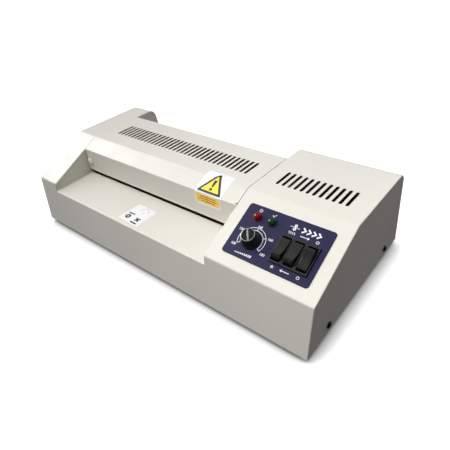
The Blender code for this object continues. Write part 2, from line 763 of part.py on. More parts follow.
def build_board():
    """Circuit board with its relay, capacitor and transformer."""
    low_x, high_x, front, rear = 108.0, 184.0, -60.0, -8.0
    base = 14.0
    board = box("control_board", (low_x, front, base), (high_x, rear, base + 1.6))
    blocks = [
        (low_x + 6, front + 8, 24, 18, 20),
        (high_x - 28, front + 8, 22, 14, 15),
        (high_x - 30, rear - 16, 24, 8, 10),
    ]
    for x, y, length, width, height in blocks:
        top = base + 1.6 + height
        combine(board, box("part", (x, y, base + 1), (x + length, y + width, top)), "UNION")
    for x in (low_x + 4, high_x - 4):
        for y in (front + 4, rear - 4):
            post = rod(2.2, 0, base - 7)
            place = Matrix.Translation(Vector((x, y, 7.5)) * MM)
            combine(board, lathe("post", post, 8, place), "UNION")
    finish_surface(board, (0.05, 0.22, 0.1), 0.5)


def build_inlet():
    """Appliance inlet: flange outside, body inside, three blades in the socket."""
    frame = rear_frame(*INLET_AT)
    inlet = box("mains_inlet", (-13.5, -9.9, -20), (13.5, 9.9, GAP + 1), frame)
    combine(inlet, box("flange", (-16, -12, GAP), (16, 12, 2.8), frame), "UNION")
    combine(inlet, box("socket", (-12, -7.8, -16), (12, 7.8, 5), frame))
    for x, y in ((-7, -1.5), (7, -1.5), (0, 2.5)):
        combine(inlet, box("blade", (x - 1, y - 2, -17), (x + 1, y + 2, -6), frame), "UNION")
    finish_surface(inlet, BLACK, 0.45)


# ---------------------------------------------------------------- control panel


def build_panel_label():
    corners = [(PANEL_X[0], PANEL_S[0]), (PANEL_X[0], PANEL_S[1])]
    corners += [(PANEL_X[1], PANEL_S[1]), (PANEL_X[1], PANEL_S[0])]
    outline = round_corners(corners, [3] * 4, 4)
    label = prism("panel_label", outline, GAP, PANEL_TOP, "Z", slope_frame(0, 0))
    cut_panel_holes(label)
    finish_surface(label, (0.035, 0.035, 0.10), 0.4)


def build_knob():
    """Skirted knob on the potentiometer's spindle."""
    frame = slope_frame(*KNOB_AT)
    base = PANEL_TOP + 0.5
    profile = [
        (0, 9.8),
        (2.9, 9.8),
        (2.9, base),
        (9.2, base),
        (9.2, base + 1.4),
        (7.6, base + 3.0),
        (6.9, 11.6),
        (6.3, 12.2),
        (0, 12.2),
    ]
    finish_surface(lathe("temperature_knob", profile, 28, frame), BLACK, 0.35)
    spindle = rod(2.4, -7.5, 9.4)
    finish_surface(lathe("potentiometer_spindle", spindle, 12, frame), STEEL, 0.3, 1.0)
    under = -SHEET - GAP
    body = [
        (0, under - 9),
        (8.5, under - 9),
        (8.5, under),
        (3.6, under),
        (3.6, 0.6),
        (2.9, 0.6),
        (2.9, under - 7),
        (0, under - 7),
    ]
    finish_surface(lathe("potentiometer", body, 16, frame), STEEL, 0.4, 0.8)


def build_lamps():
    under = PANEL_TOP + GAP
    profile = [
        (0, -14),
        (3.4, -14),
        (3.4, under),
        (4.6, under),
        (4.6, under + 0.9),
        (3.9, under + 1.2),
        (3.7, under + 3.0),
        (2.4, under + 4.3),
        (0, under + 4.8),
    ]
    for name, (x, colour) in LAMPS.items():
        finish_surface(lathe(name, profile, 16, slope_frame(x, LAMP_S)), colour, 0.15)


def build_switch(name, place, raised_end):
    """Housing with a bezel and an open pocket, and the rocker that tilts in it."""
    frame = slope_frame(SWITCH_MIDDLE_X + place * SWITCH_PITCH, SWITCH_S)
    under = PANEL_TOP + GAP
    half_width = (SWITCH_PITCH - GAP) / 2
    body = SWITCH_BODY_HALF_LENGTH
    housing = box("switch_housing_" + name, (-5.6, -body, -19), (5.6, body, under + 1), frame)
    bezel = BEZEL_HALF_LENGTH
    rim = box("rim", (-half_width, -bezel, under), (half_width, bezel, under + 1.9), frame)
    combine(housing, rim, "UNION")
    pocket = POCKET_HALF_LENGTH
    combine(housing, box("pocket", (-4.8, -pocket, -6.5), (4.8, pocket, 10), frame))
    for y in (-7, 0, 7):
        combine(housing, box("blade", (-3, y - 0.4, -27), (3, y + 0.4, -18), frame), "UNION")
    finish_surface(housing, BLACK, 0.35)
    outline = round_corners(ROCKER_OUTLINE, ROCKER_RADII, 3)
    pivot = slope_frame(SWITCH_MIDDLE_X + place * SWITCH_PITCH, SWITCH_S, 1.0)
    pivot = pivot @ Matrix.Rotation(raised_end * ROCKER_TILT, 4, "X")
    finish_surface(prism("rocker_" + name, outline, -4.4, 4.4, "X", pivot), BLACK, 0.3)


def build_laminator():
    clear_scene()
    build_casing()
    build_base_pan()
    build_side_screws()
    build_feet()
    build_mid_cover()
    build_cover_screws()
    build_side_frame("side_frame_left", LEFT_PLATE, False)
    build_side_frame("side_frame_right", RIGHT_PLATE, True)
    build_tie_bars()
    for name, (y, z) in roller_places().items():
        build_roller(name, y, z)
    build_bushes()
    build_springs()
    build_gear_train()
    build_motor()
    build_heater_shoes()
    build_board()
    build_inlet()
    build_panel_label()
    build_knob()
    build_lamps()
    for name, (place, raised_end) in SWITCHES.items():
        build_switch(name, place, raised_end)


build_laminator()
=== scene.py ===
import json
import math

import bmesh
import bpy
from mathutils import Matrix, Vector


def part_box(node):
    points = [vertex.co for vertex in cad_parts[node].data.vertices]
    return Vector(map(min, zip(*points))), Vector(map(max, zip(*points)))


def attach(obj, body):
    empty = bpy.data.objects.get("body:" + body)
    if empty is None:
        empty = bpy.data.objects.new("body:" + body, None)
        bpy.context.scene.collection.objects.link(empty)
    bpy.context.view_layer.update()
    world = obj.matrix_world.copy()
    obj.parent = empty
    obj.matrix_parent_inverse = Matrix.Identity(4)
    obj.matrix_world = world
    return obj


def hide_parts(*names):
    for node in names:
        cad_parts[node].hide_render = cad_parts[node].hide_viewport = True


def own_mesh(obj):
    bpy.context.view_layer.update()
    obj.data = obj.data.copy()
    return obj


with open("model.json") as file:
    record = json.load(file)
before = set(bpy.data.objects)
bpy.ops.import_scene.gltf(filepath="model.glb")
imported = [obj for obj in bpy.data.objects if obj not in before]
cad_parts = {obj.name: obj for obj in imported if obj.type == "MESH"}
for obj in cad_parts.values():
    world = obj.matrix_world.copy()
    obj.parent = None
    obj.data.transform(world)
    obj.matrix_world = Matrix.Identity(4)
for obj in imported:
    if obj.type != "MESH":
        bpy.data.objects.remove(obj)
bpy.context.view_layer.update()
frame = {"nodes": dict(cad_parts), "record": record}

MM = 0.001
ROOT = "root"

# Casing, in millimetres of the CAD frame; its outer limits come from the CAD nodes.
SHEET = 1.2
EDGE_ROUNDING = 0.22
FRONT_EDGE = Vector((-93.7, 64.7))
SLOPE_BREAK = Vector((-21.6, 99.5))
REAR_TOP_Y = 82.7
REAR_BEND_RADIUS = 12.0
TROUGH = (-161.3, 81.1)
SHELF_FRONT_Z = 54.8
SHELF_REAR_Z = 57.0
ROLLER_BAY = (-39.7, 52.0)
EXIT_SHELF_Z = (55.0, 51.0)
WINDOW_TOP_Z = 90.0

# Cover: bend radii outside and inside, and how much wider it is drawn than its node, left and right
COVER_BENDS = [0, 1.6, 6, 2, 0]
COVER_INNER_BENDS = [0, 0.6, 5, 0.8, 0]
COVER_SEAM_FILL = (0.35, 0.25)

# Screws and holes. The right cover screw's head is small enough to stay out of sight in the photo.
SIDE_SCREW_HOLE = 1.8
COVER_SCREW_HOLE = 1.9
SIDE_SCREW_HEAD = (3.6, 2.2)
COVER_SCREW_HEADS = {"cover_screw_left": (5.3, 3.2), "cover_screw_right": (3.4, 1.8)}
INLET_AT = (150.0, 40.0)
INLET_HOLE_HALF = (13.9, 10.3)

# Vent slots: width, the sheet's thickness round them, then count, first x, last x, front y, rear y
VENT_WIDTH = 3.3
VENT_SHEET = 0.3
COVER_VENTS = (34, -140.6, 61.4, -0.7, 25.3)
BOX_VENTS = (12, 100.5, 173.4, -1.0, 25.3)

# Control panel: x, and distance up the slope
PANEL_LOW = (94.3, 11.7)
PANEL_HIGH = (182.8, 66.6)
PANEL_TOP = 0.8
KNOB_AT = (116.1, 31.1)
KNOB_HOLE = 4.1
LAMP_S = 54.6
LAMP_HOLE = 3.8
LAMP_X = {"lamp_power": 109.2, "lamp_ready": 124.8}
SWITCH_PITCH = 12.5
SWITCH_MIDDLE = (158.65, 34.0)
SWITCH_HOLE_HALF = 13.5
SWITCH_BODY_HALF = (5.6, 13.1)
BEZEL_HALF = 14
POCKET_HALF = (4.8, 12.1)
ROCKER_TILT = math.radians(14)
ROCKER_OUTLINE = [(-11.0, -3.4), (-9.6, 5.6), (0, 3.6), (9.6, 5.6), (11.0, -3.4)]
SWITCHES = {"mode": (-1, -1), "direction": (0, -1), "power": (1, 1)}
POINTER_ANGLE = math.radians(124)
DIAL_ANGLES = {"100": 209, "120": 150, "140": 91, "160": 31, "180": -28}

# Camera fitted to the photo, its turn in degrees, and the lamps; places in metres
CAMERA_AT = (0.29113, -0.29541, 0.30952)
CAMERA_TURN = (53.662, 4.293, 38.579)
CAMERA_LENS = 33.07
KEY_AT = (-0.02, -0.53, 1.16)
KEY_AIM = (0.22, -0.05, 0.09)
SIDE_AT = (-0.75, -0.18, 0.6)
SIDE_WAY = (0.86, 0.13, -0.51)


def box_mm(node):
    low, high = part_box(node)
    return low / MM, high / MM


def centre_mm(node):
    low, high = box_mm(node)
    return (low + high) / 2


CASING_LOW, CASING_HIGH = box_mm("outer_casing")
COVER_LOW, COVER_HIGH = box_mm("mid_cover")
BOTTOM_Z = CASING_LOW.z
TOP_Z = CASING_HIGH.z
UP_SLOPE = Vector((0, SLOPE_BREAK.x - FRONT_EDGE.x, SLOPE_BREAK.y - FRONT_EDGE.y)).normalized()
SLOPE_NORMAL = Vector((1, 0, 0)).cross(UP_SLOPE)


# ---- mesh tools


def add_object(name, data):
    item = bpy.data.objects.new(name, data)
    bpy.context.scene.collection.objects.link(item)
    return item


def finish_mesh(name, bm, place=None):
    """Turn a bmesh drawn in millimetres into an object in metres."""
    bmesh.ops.recalc_face_normals(bm, faces=bm.faces)
    bmesh.ops.scale(bm, vec=(MM, MM, MM), verts=bm.verts)
    if place is not None:
        bmesh.ops.transform(bm, matrix=place, verts=bm.verts)
    mesh = bpy.data.meshes.new(name)
    bm.to_mesh(mesh)
    bm.free()
    return add_object(name, mesh)


def extrude(bm, outline, low, high, spot=lambda a, b, c: (a, b, c)):
    """Add a closed prism over an outline; spot turns (a, b, level) into a point."""
    rings = [[bm.verts.new(spot(a, b, level)) for a, b in outline] for level in (low, high)]
    bm.faces.new(rings[0])
    bm.faces.new(rings[1])
    for i in range(len(outline)):
        j = (i + 1) % len(outline)
        bm.faces.new((rings[0][i], rings[0][j], rings[1][j], rings[1][i]))


def prism(name, outline, low, high, axis="X", place=None):
    """Extrude a closed outline; it lies in YZ or XY for the axis X or Z."""
    spot = {"X": lambda a, b, c: (c, a, b), "Z": lambda a, b, c: (a, b, c)}[axis]
    bm = bmesh.new()
    extrude(bm, outline, low, high, spot)
    return finish_mesh(name, bm, place)


def block(name, low, high, place=None):
    outline = [(low[0], low[1]), (high[0], low[1]), (high[0], high[1]), (low[0], high[1])]
    return prism(name, outline, low[2], high[2], "Z", place)


def lathe(name, profile, segments, place=None, closed=False, swell=None):
    """Turn (radius, height) points about local Z; swell(angle, height) scales the radius."""
    bm = bmesh.new()
    rings = []
    for radius, height in profile:
        if radius == 0:
            rings.append([bm.verts.new((0, 0, height))])
            continue
        ring = []
        for i in range(segments):
            angle = 2 * math.pi * i / segments
            reach = radius * (swell(angle, height) if swell else 1)
            ring.append(bm.verts.new((reach * math.cos(angle), reach * math.sin(angle), height)))
        rings.append(ring)
    pairs = list(zip(rings, rings[1:]))
    if closed:
        pairs.append((rings[-1], rings[0]))
    for lower, upper in pairs:
        for i in range(segments):
            j = (i + 1) % segments
            corners = [lower[i % len(lower)], lower[j % len(lower)]]
            corners += [upper[j % len(upper)], upper[i % len(upper)]]
            bm.faces.new(list(dict.fromkeys(corners)))
    return finish_mesh(name, bm, place)


def bake(piece):
    bpy.context.view_layer.update()
    result = piece.evaluated_get(bpy.context.evaluated_depsgraph_get())
    mesh = bpy.data.meshes.new_from_object(result)
    piece.modifiers.clear()
    piece.data = mesh


def combine(piece, tool, operation="DIFFERENCE"):
    modifier = piece.modifiers.new("combine", "BOOLEAN")
    modifier.object = tool
    modifier.operation = operation
    bake(piece)
    bpy.data.objects.remove(tool)


def bevel(piece, width, segments, angle, miter):
    modifier = piece.modifiers.new("edges", "BEVEL")
    modifier.width = width * MM
    modifier.segments = segments
    modifier.limit_method = "ANGLE"
    modifier.angle_limit = math.radians(angle)
    modifier.miter_outer = miter
    bake(piece)


def soften(piece, width, segments=2, angle=40):
    """Round the sharp edges of a finished piece and keep its flat faces flat in shading."""
    bevel(piece, width, segments, angle, "MITER_ARC")
    shade(piece)


def smooth(piece, angle=35):
    piece.data.shade_smooth()
    piece.data.set_sharp_from_angle(angle=math.radians(angle))


def shade(piece, angle=35):
    smooth(piece, angle)
    piece.modifiers.new("flat_faces", "WEIGHTED_NORMAL").keep_sharp = True


def round_corners(points, radii, steps):
    """Replace each corner that has a radius with an arc."""
    outline = []
    for i, (point, radius) in enumerate(zip(points, radii)):
        corner = Vector(point)
        if radius == 0:
            outline.append(tuple(corner))
            continue
        before = (Vector(points[i - 1]) - corner).normalized()
        after = (Vector(points[(i + 1) % len(points)]) - corner).normalized()
        half = before.angle(after) / 2
        centre = corner + (before + after).normalized() * radius / math.sin(half)
        start = corner + before * radius / math.tan(half) - centre
        end = corner + after * radius / math.tan(half) - centre
        sweep = math.atan2(start.x * end.y - start.y * end.x, start.dot(end))
        for k in range(steps + 1):
            outline.append(tuple(centre + Matrix.Rotation(sweep * k / steps, 2) @ start))
    return outline


def offset_corners(points, distance):
    """Move every side of a clockwise outline inwards."""
    lines = []
    for start, end in zip(points, points[1:] + points[:1]):
        along = (Vector(end) - Vector(start)).normalized()
        lines.append((Vector(start) + Vector((along.y, -along.x)) * distance, along))
    corners = []
    for (p, u), (q, v) in zip([lines[-1]] + lines[:-1], lines):
        step = ((q.x - p.x) * v.y - (q.y - p.y) * v.x) / (u.x * v.y - u.y * v.x)
        corners.append(tuple(p + u * step))
    return corners


def axis_frame(x, y, z, axis):
    """Frame whose local Z lies along +X or -X, out of the front (-Y), or up."""
    turns = {
        "+X": Matrix.Rotation(math.pi / 2, 4, "Y"),
        "-X": Matrix.Rotation(-math.pi / 2, 4, "Y"),
        "-Y": Matrix.Rotation(math.pi / 2, 4, "X"),
        "+Z": Matrix.Identity(4),
    }
    return Matrix.Translation(Vector((x, y, z)) * MM) @ turns[axis]


def slope_frame(x, distance, height=0.0):
    """Frame on the control slope: local Y runs up the slope and local Z stands out of it."""
    origin = Vector((x, FRONT_EDGE.x, FRONT_EDGE.y)) + UP_SLOPE * distance + SLOPE_NORMAL * height
    place = Matrix((Vector((1, 0, 0)), UP_SLOPE, SLOPE_NORMAL)).transposed().to_4x4()
    place.translation = origin * MM
    return place


def rear_y(z):
    lean = (CASING_HIGH.y - REAR_TOP_Y) / (TOP_Z - BOTTOM_Z)
    return CASING_HIGH.y - lean * (z - BOTTOM_Z)


def rear_frame(x, z):
    """Frame on the leaning rear face: local Z points out of the machine."""
    up = Vector((0, rear_y(TOP_Z) - rear_y(BOTTOM_Z), TOP_Z - BOTTOM_Z)).normalized()
    side = Vector((-1, 0, 0))
    place = Matrix((side, up, side.cross(up))).transposed().to_4x4()
    place.translation = Vector((x, rear_y(z), z)) * MM
    return place


# ---- materials


class Shader:
    """A Principled material with short calls for the nodes used here."""

    def __init__(self, name):
        self.material = bpy.data.materials.new(name)
        self.material.use_nodes = True
        self.tree = self.material.node_tree
        self.surface = self.tree.nodes["Principled BSDF"]
        self.place = self.node("ShaderNodeTexCoord").outputs["Object"]

    def node(self, kind, **values):
        node = self.tree.nodes.new(kind)
        for key, value in values.items():
            setattr(node, key, value)
        return node

    def link(self, source, target):
        self.tree.links.new(source, target)

    def set(self, **values):
        for key, value in values.items():
            self.surface.inputs[key.replace("_", " ")].default_value = value

    def noise(self, scale, detail=3.0, rough=0.5, stretch=None):
        """Noise over the object's own coordinates; scale counts features per metre."""
        source = self.place
        if stretch:
            mapping = self.node("ShaderNodeMapping")
            mapping.inputs["Scale"].default_value = stretch
            self.link(self.place, mapping.inputs["Vector"])
            source = mapping.outputs["Vector"]
        noise = self.node("ShaderNodeTexNoise")
        noise.inputs["Scale"].default_value = scale
        noise.inputs["Detail"].default_value = detail
        noise.inputs["Roughness"].default_value = rough
        self.link(source, noise.inputs["Vector"])
        return noise.outputs["Fac"]

    def ramp(self, factor, stops):
        ramp = self.node("ShaderNodeValToRGB")
        elements = ramp.color_ramp.elements
        while len(elements) < len(stops):
            elements.new(0.5)
        for element, (position, colour) in zip(elements, stops):
            element.position = position
            element.color = (*colour, 1)
        self.link(factor, ramp.inputs["Fac"])
        return ramp.outputs["Color"]

    def span(self, factor, low, high):
        """Spread a 0..1 factor between two values."""
        spread = self.node("ShaderNodeMapRange")
        spread.inputs["From Min"].default_value = 0.25
        spread.inputs["From Max"].default_value = 0.75
        spread.inputs["To Min"].default_value = low
        spread.inputs["To Max"].default_value = high
        self.link(factor, spread.inputs["Value"])
        return spread.outputs["Result"]

    def colour(self, socket):
        self.link(socket, self.surface.inputs["Base Color"])

    def clouds(self, factor, colour, darker, lighter):
        """Let the base colour drift with a factor between a darker and a lighter share of itself."""
        self.colour(self.ramp(factor, [(0.3, shifted(colour, darker)), (0.7, shifted(colour, lighter))]))

    def roughness(self, socket):
        self.link(socket, self.surface.inputs["Roughness"])

    def bumps(self, *layers):
        """Stack (height socket, depth in millimetres) layers into the normal."""
        normal = None
        for height, depth in layers:
            bump = self.node("ShaderNodeBump")
            bump.inputs["Distance"].default_value = depth * MM
            bump.inputs["Strength"].default_value = 1.0
            self.link(height, bump.inputs["Height"])
            if normal is not None:
                self.link(normal, bump.inputs["Normal"])
            normal = bump.outputs["Normal"]
        self.link(normal, self.surface.inputs["Normal"])


def shifted(colour, amount):
    return tuple(max(0.0, min(1.0, c * (1 + amount))) for c in colour)


def powder_coat(name, colour):
    """Warm off-white powder coat: fine orange peel, faint cloudiness, uneven gloss."""
    shader = Shader(name)
    shader.set(IOR=1.5)
    shader.clouds(shader.noise(9, 4), colour, -0.03, 0.02)
    shader.roughness(shader.span(shader.noise(60, 5), 0.42, 0.56))
    shader.bumps((shader.noise(1500, 2), 0.035), (shader.noise(420, 2), 0.03))
    return shader.material


def moulded_plastic(name, colour, gloss, grain=0.02, shine=0.5):
    """Black or natural moulded plastic with a fine spark-eroded grain."""
    shader = Shader(name)
    shader.set(Specular_IOR_Level=shine)
    shader.clouds(shader.noise(40, 4), colour, -0.12, 0.15)
    shader.roughness(shader.span(shader.noise(220, 4), gloss - 0.06, gloss + 0.08))
    shader.bumps((shader.noise(2600, 2), grain))
    return shader.material


def plated_metal(name, colour, gloss, stretch=(1, 1, 1)):
    """Rolled or ground metal: streaks along the stretched axis and a little staining."""
    shader = Shader(name)
    shader.set(Metallic=1.0)
    streaks = shader.noise(700, 5, 0.6, stretch)
    shader.clouds(streaks, colour, -0.1, 0.08)
    shader.roughness(shader.span(shader.noise(90, 5), gloss - 0.07, gloss + 0.1))
    shader.bumps((streaks, 0.01))
    return shader.material


def silicone(name, colour):
    """Matt silicone rubber with rubbed bands round the roller."""
    shader = Shader(name)
    bands = shader.noise(260, 4, 0.6, (1, 0.05, 0.05))
    shader.clouds(bands, colour, -0.25, 0.2)
    shader.roughness(shader.span(shader.noise(120, 4), 0.5, 0.68))
    shader.bumps((shader.noise(1800, 2), 0.02))
    return shader.material


def rubber(name, colour):
    shader = Shader(name)
    shader.clouds(shader.noise(150, 4), colour, -0.2, 0.3)
    shader.roughness(shader.span(shader.noise(300, 4), 0.72, 0.88))
    shader.bumps((shader.noise(1600, 3), 0.04))
    return shader.material


def printed_film(name, colour, gloss=0.38, shine=0.5):
    """Printed plastic film: even ink under a lightly textured clear layer."""
    shader = Shader(name)
    shader.set(Specular_IOR_Level=shine)
    shader.clouds(shader.noise(35, 3), colour, -0.06, 0.06)
    shader.roughness(shader.span(shader.noise(180, 3), gloss - 0.06, gloss + 0.08))
    shader.bumps((shader.noise(2200, 2), 0.012))
    return shader.material


def lens_plastic(name, colour, glow):
    """Clear tinted lens over a dark lamp."""
    shader = Shader(name)
    shader.set(Roughness=0.08, IOR=1.4, Transmission_Weight=0.15)
    shader.clouds(shader.noise(420, 3), colour, -0.4, glow)
    shader.bumps((shader.noise(900, 2), 0.01))
    return shader.material


def board_lacquer(name, colour):
    shader = Shader(name)
    shader.colour(shader.ramp(shader.noise(200, 5, 0.7), [(0.4, colour), (0.6, shifted(colour, 0.5))]))
    shader.roughness(shader.span(shader.noise(300, 3), 0.3, 0.45))
    shader.bumps((shader.noise(900, 3), 0.05))
    return shader.material


CREAM = (0.735, 0.71, 0.645)
MATERIALS = {
    "cream_paint": powder_coat("cream_powder_coat", CREAM),
    # Zinc is drawn darker than bare zinc: painted shade, so the zinc parts seen through the vent slots look
    # dark.
    "zinc_steel": plated_metal("zinc_sheet_with_painted_shade", (0.30, 0.31, 0.32), 0.4, (0.1, 1, 1)),
    "black_screw": plated_metal("blackened_screw", (0.035, 0.035, 0.04), 0.4),
    "foot_rubber": rubber("foot_rubber", (0.025, 0.025, 0.027)),
    "shaft_steel": plated_metal("ground_shaft", (0.62, 0.62, 0.63), 0.24, (1, 0.02, 0.02)),
    "red_silicone": silicone("red_silicone", (0.085, 0.014, 0.010)),
    "gear_nylon": moulded_plastic("gear_nylon", (0.78, 0.76, 0.68), 0.42),
    "bush_plastic": moulded_plastic("bush_plastic", (0.62, 0.50, 0.30), 0.45),
    "spring_steel": plated_metal("spring_wire", (0.6, 0.6, 0.62), 0.22),
    "motor_metal": plated_metal("motor_can", (0.58, 0.56, 0.50), 0.34),
    # Aluminium drawn near black: painted shade, so the heater shoes seen through the vent slots look dark.
    "heater_aluminium": plated_metal("heater_aluminium", (0.05, 0.05, 0.055), 0.45, (0.03, 1, 1)),
    "circuit_board": board_lacquer("board_lacquer", (0.02, 0.14, 0.05)),
    "black_plastic": moulded_plastic("satin_black_plastic", (0.010, 0.010, 0.012), 0.36),
    "panel_print": printed_film("navy_film", (0.022, 0.021, 0.062), 0.42, 0.15),
    "red_lens": lens_plastic("red_lens", (0.17, 0.0002, 0.003), 0.5),
    "green_lens": lens_plastic("green_lens", (0.0004, 0.036, 0.014), 0.6),
}
GLOSS_BLACK = moulded_plastic("rocker_black", (0.006, 0.006, 0.007), 0.28, 0.008)
KNOB_BLACK = moulded_plastic("knob_black", (0.008, 0.009, 0.008), 0.3, 0.01, 0.16)
WHITE_INK = printed_film("white_ink", (0.80, 0.81, 0.84), 0.45)
STICKER_WHITE = printed_film("sticker_white", (0.90, 0.90, 0.91), 0.3)
STICKER_YELLOW = printed_film("sticker_yellow", (0.90, 0.78, 0.06), 0.3)
STICKER_ORANGE = printed_film("sticker_orange", (1.0, 0.66, 0.08), 0.3)
STICKER_BLACK = printed_film("sticker_black", (0.006, 0.006, 0.006), 0.5)
STICKER_GREY = printed_film("sticker_grey", (0.70, 0.69, 0.76), 0.35)
STICKER_BROWN = printed_film("sticker_brown", (0.50, 0.10, 0.02), 0.3)
SILVER = plated_metal("silver_trim", (0.34, 0.36, 0.36), 0.3, (1, 1, 0.1))
BLADE_METAL = plated_metal("nickel_blade", (0.66, 0.62, 0.55), 0.25)


def dress(piece, slot, body, *nodes, material=None):
    """Give a piece its material, its body and the CAD nodes that it stands for."""
    piece.data.materials.clear()
    piece.data.materials.append(material or MATERIALS[slot])
    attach(piece, body)
    if nodes:
        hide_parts(*nodes)


def dress_cad_nodes():
    """Every CAD node gets the finish of its slot; nodes with finer stand-ins are hidden later."""
    slots = {row["node"]: row["material_slot"] for row in frame["record"]["subparts"]}
    for name, node in frame["nodes"].items():
        node.data.materials.clear()
        node.data.materials.append(MATERIALS[slots[name]])
        smooth(node)


# ---- sheet metal


def casing_corners(bottom_z):
    """Side view of the casing, clockwise, with its leaning faces carried down to bottom_z."""
    lean = (FRONT_EDGE.x - CASING_LOW.y) / (FRONT_EDGE.y - BOTTOM_Z)
    return [
        (FRONT_EDGE.x - lean * (FRONT_EDGE.y - bottom_z), bottom_z),
        tuple(FRONT_EDGE),
        tuple(SLOPE_BREAK),
        (REAR_TOP_Y, TOP_Z),
        (rear_y(bottom_z), bottom_z),
    ]


def casing_outline(inset=0.0):
    corners = offset_corners(casing_corners(-10), inset)
    radii = [0, 2.5 - inset, 6 - inset, REAR_BEND_RADIUS - inset, 0]
    return round_corners(corners, radii, 12)


def trough_outline():
    bay_front, bay_rear = ROLLER_BAY
    beyond = 200.0
    return [
        (-beyond, SHELF_FRONT_Z - (SHELF_REAR_Z - SHELF_FRONT_Z) * 2),
        (bay_front, SHELF_REAR_Z),
        (bay_front, -20),
        (bay_rear, -20),
        (bay_rear, EXIT_SHELF_Z[0]),
        (beyond, EXIT_SHELF_Z[1] - 4),
        (beyond, 2 * TOP_Z),
        (-beyond, 2 * TOP_Z),
    ]


def under_shelf_outlines():
    """The hollows under the feed shelf and under the exit shelf."""
    bay_front, bay_rear = ROLLER_BAY
    inner = offset_corners(casing_corners(-10), SHEET)
    top_z = SHELF_FRONT_Z - SHEET - 0.2
    share = (top_z - inner[0][1]) / (inner[1][1] - inner[0][1])
    edge_drop = 6.0
    front = [
        inner[0],
        (inner[0][0] + (inner[1][0] - inner[0][0]) * share, top_z),
        (bay_front - SHEET, SHELF_REAR_Z - SHEET),
        (bay_front - SHEET, SHELF_REAR_Z - edge_drop),
        (bay_front + 1, SHELF_REAR_Z - edge_drop),
        (bay_front + 1, inner[0][1]),
    ]
    rear = [
        inner[4],
        (bay_rear - 1, inner[4][1]),
        (bay_rear - 1, EXIT_SHELF_Z[0] - edge_drop),
        (bay_rear + SHEET, EXIT_SHELF_Z[0] - edge_drop),
        (bay_rear + SHEET, EXIT_SHELF_Z[0] - SHEET - 0.1),
        (rear_y(EXIT_SHELF_Z[1]) - SHEET - 0.2, EXIT_SHELF_Z[1] - SHEET + 0.2),
    ]
    return front, rear


def slots(name, vents, low_z, high_z):
    """One cutter with a round-ended prism for every vent slot."""
    count, first_x, last_x, front_y, back_y = vents
    radius = VENT_WIDTH / 2
    bm = bmesh.new()
    for k in range(count):
        x = first_x + (last_x - first_x) * k / (count - 1)
        outline = arc(x, back_y - radius, radius, 0, 180, 8)
        outline += arc(x, front_y + radius, radius, 180, 360, 8)
        extrude(bm, outline, low_z, high_z)
    return finish_mesh(name, bm)


def vent_pocket(vents):
    """Cutter that thins the sheet from below round the slots, so that they look dark from one side."""
    first_x, last_x, front_y, back_y = vents[1:]
    margin = 3.0
    low = (first_x - margin, front_y - margin, TOP_Z - SHEET - 0.3)
    return block("tool", low, (last_x + margin, back_y + margin, TOP_Z - VENT_SHEET))


def cylinder(radius, low, high, place, segments=32):
    return lathe("tool", [(0, low), (radius, low), (radius, high), (0, high)], segments, place)


def cut_panel_holes(piece):
    combine(piece, cylinder(KNOB_HOLE, -3, 3, slope_frame(*KNOB_AT)))
    for x in LAMP_X.values():
        combine(piece, cylinder(LAMP_HOLE, -3, 3, slope_frame(x, LAMP_S)))
    low = (-1.5 * SWITCH_PITCH, -SWITCH_HOLE_HALF, -3)
    high = (1.5 * SWITCH_PITCH, SWITCH_HOLE_HALF, 3)
    combine(piece, block("tool", low, high, slope_frame(*SWITCH_MIDDLE)))


def side_screw_places():
    places = {}
    for side_name, axis in (("right", "+X"), ("left", "-X")):
        for end in ("front", "rear"):
            node = "casing_screw_" + side_name + "_" + end
            middle = centre_mm(node)
            x = CASING_HIGH.x if axis == "+X" else CASING_LOW.x
            places[node] = (x, middle.y, middle.z, axis)
    return places


def build_casing():
    half = CASING_HIGH.x
    left, right = TROUGH
    casing = prism("casing_shell", casing_outline(), -half, half)
    combine(casing, prism("tool", trough_outline(), left, right))
    bevel(casing, 1.0, 4, 35, "MITER_SHARP")
    inner = casing_outline(SHEET)
    combine(casing, prism("tool", inner, -half + SHEET, left - SHEET))
    combine(casing, prism("tool", inner, right + SHEET, half - SHEET))
    for outline in under_shelf_outlines():
        combine(casing, prism("tool", outline, left - 10, right + 10))
    for x in (left - SHEET / 2, right + SHEET / 2):
        window_low = (x - 2, COVER_LOW.y + SHEET, -20)
        combine(casing, block("tool", window_low, (x + 2, ROLLER_BAY[1], WINDOW_TOP_Z)))
    combine(casing, block("tool", (-half - 5, -200, -30), (half + 5, 200, BOTTOM_Z)))
    combine(casing, vent_pocket(BOX_VENTS))
    cut_panel_holes(casing)
    for x, y, z, axis in side_screw_places().values():
        combine(casing, cylinder(SIDE_SCREW_HOLE, -3, 3, axis_frame(x, y, z, axis), 16))
    across, up = INLET_HOLE_HALF
    combine(casing, block("tool", (-across, -up, -3), (across, up, 3), rear_frame(*INLET_AT)))
    soften(casing, EDGE_ROUNDING, 2, 50)
    combine(casing, slots("tool", BOX_VENTS, TOP_Z - 5, TOP_Z + 5))
    shade(casing)
    dress(casing, "cream_paint", ROOT, "outer_casing")


def lip_top_z():
    rise = (SLOPE_BREAK.y - FRONT_EDGE.y) / (SLOPE_BREAK.x - FRONT_EDGE.x)
    return FRONT_EDGE.y + (COVER_LOW.y - FRONT_EDGE.x) * rise


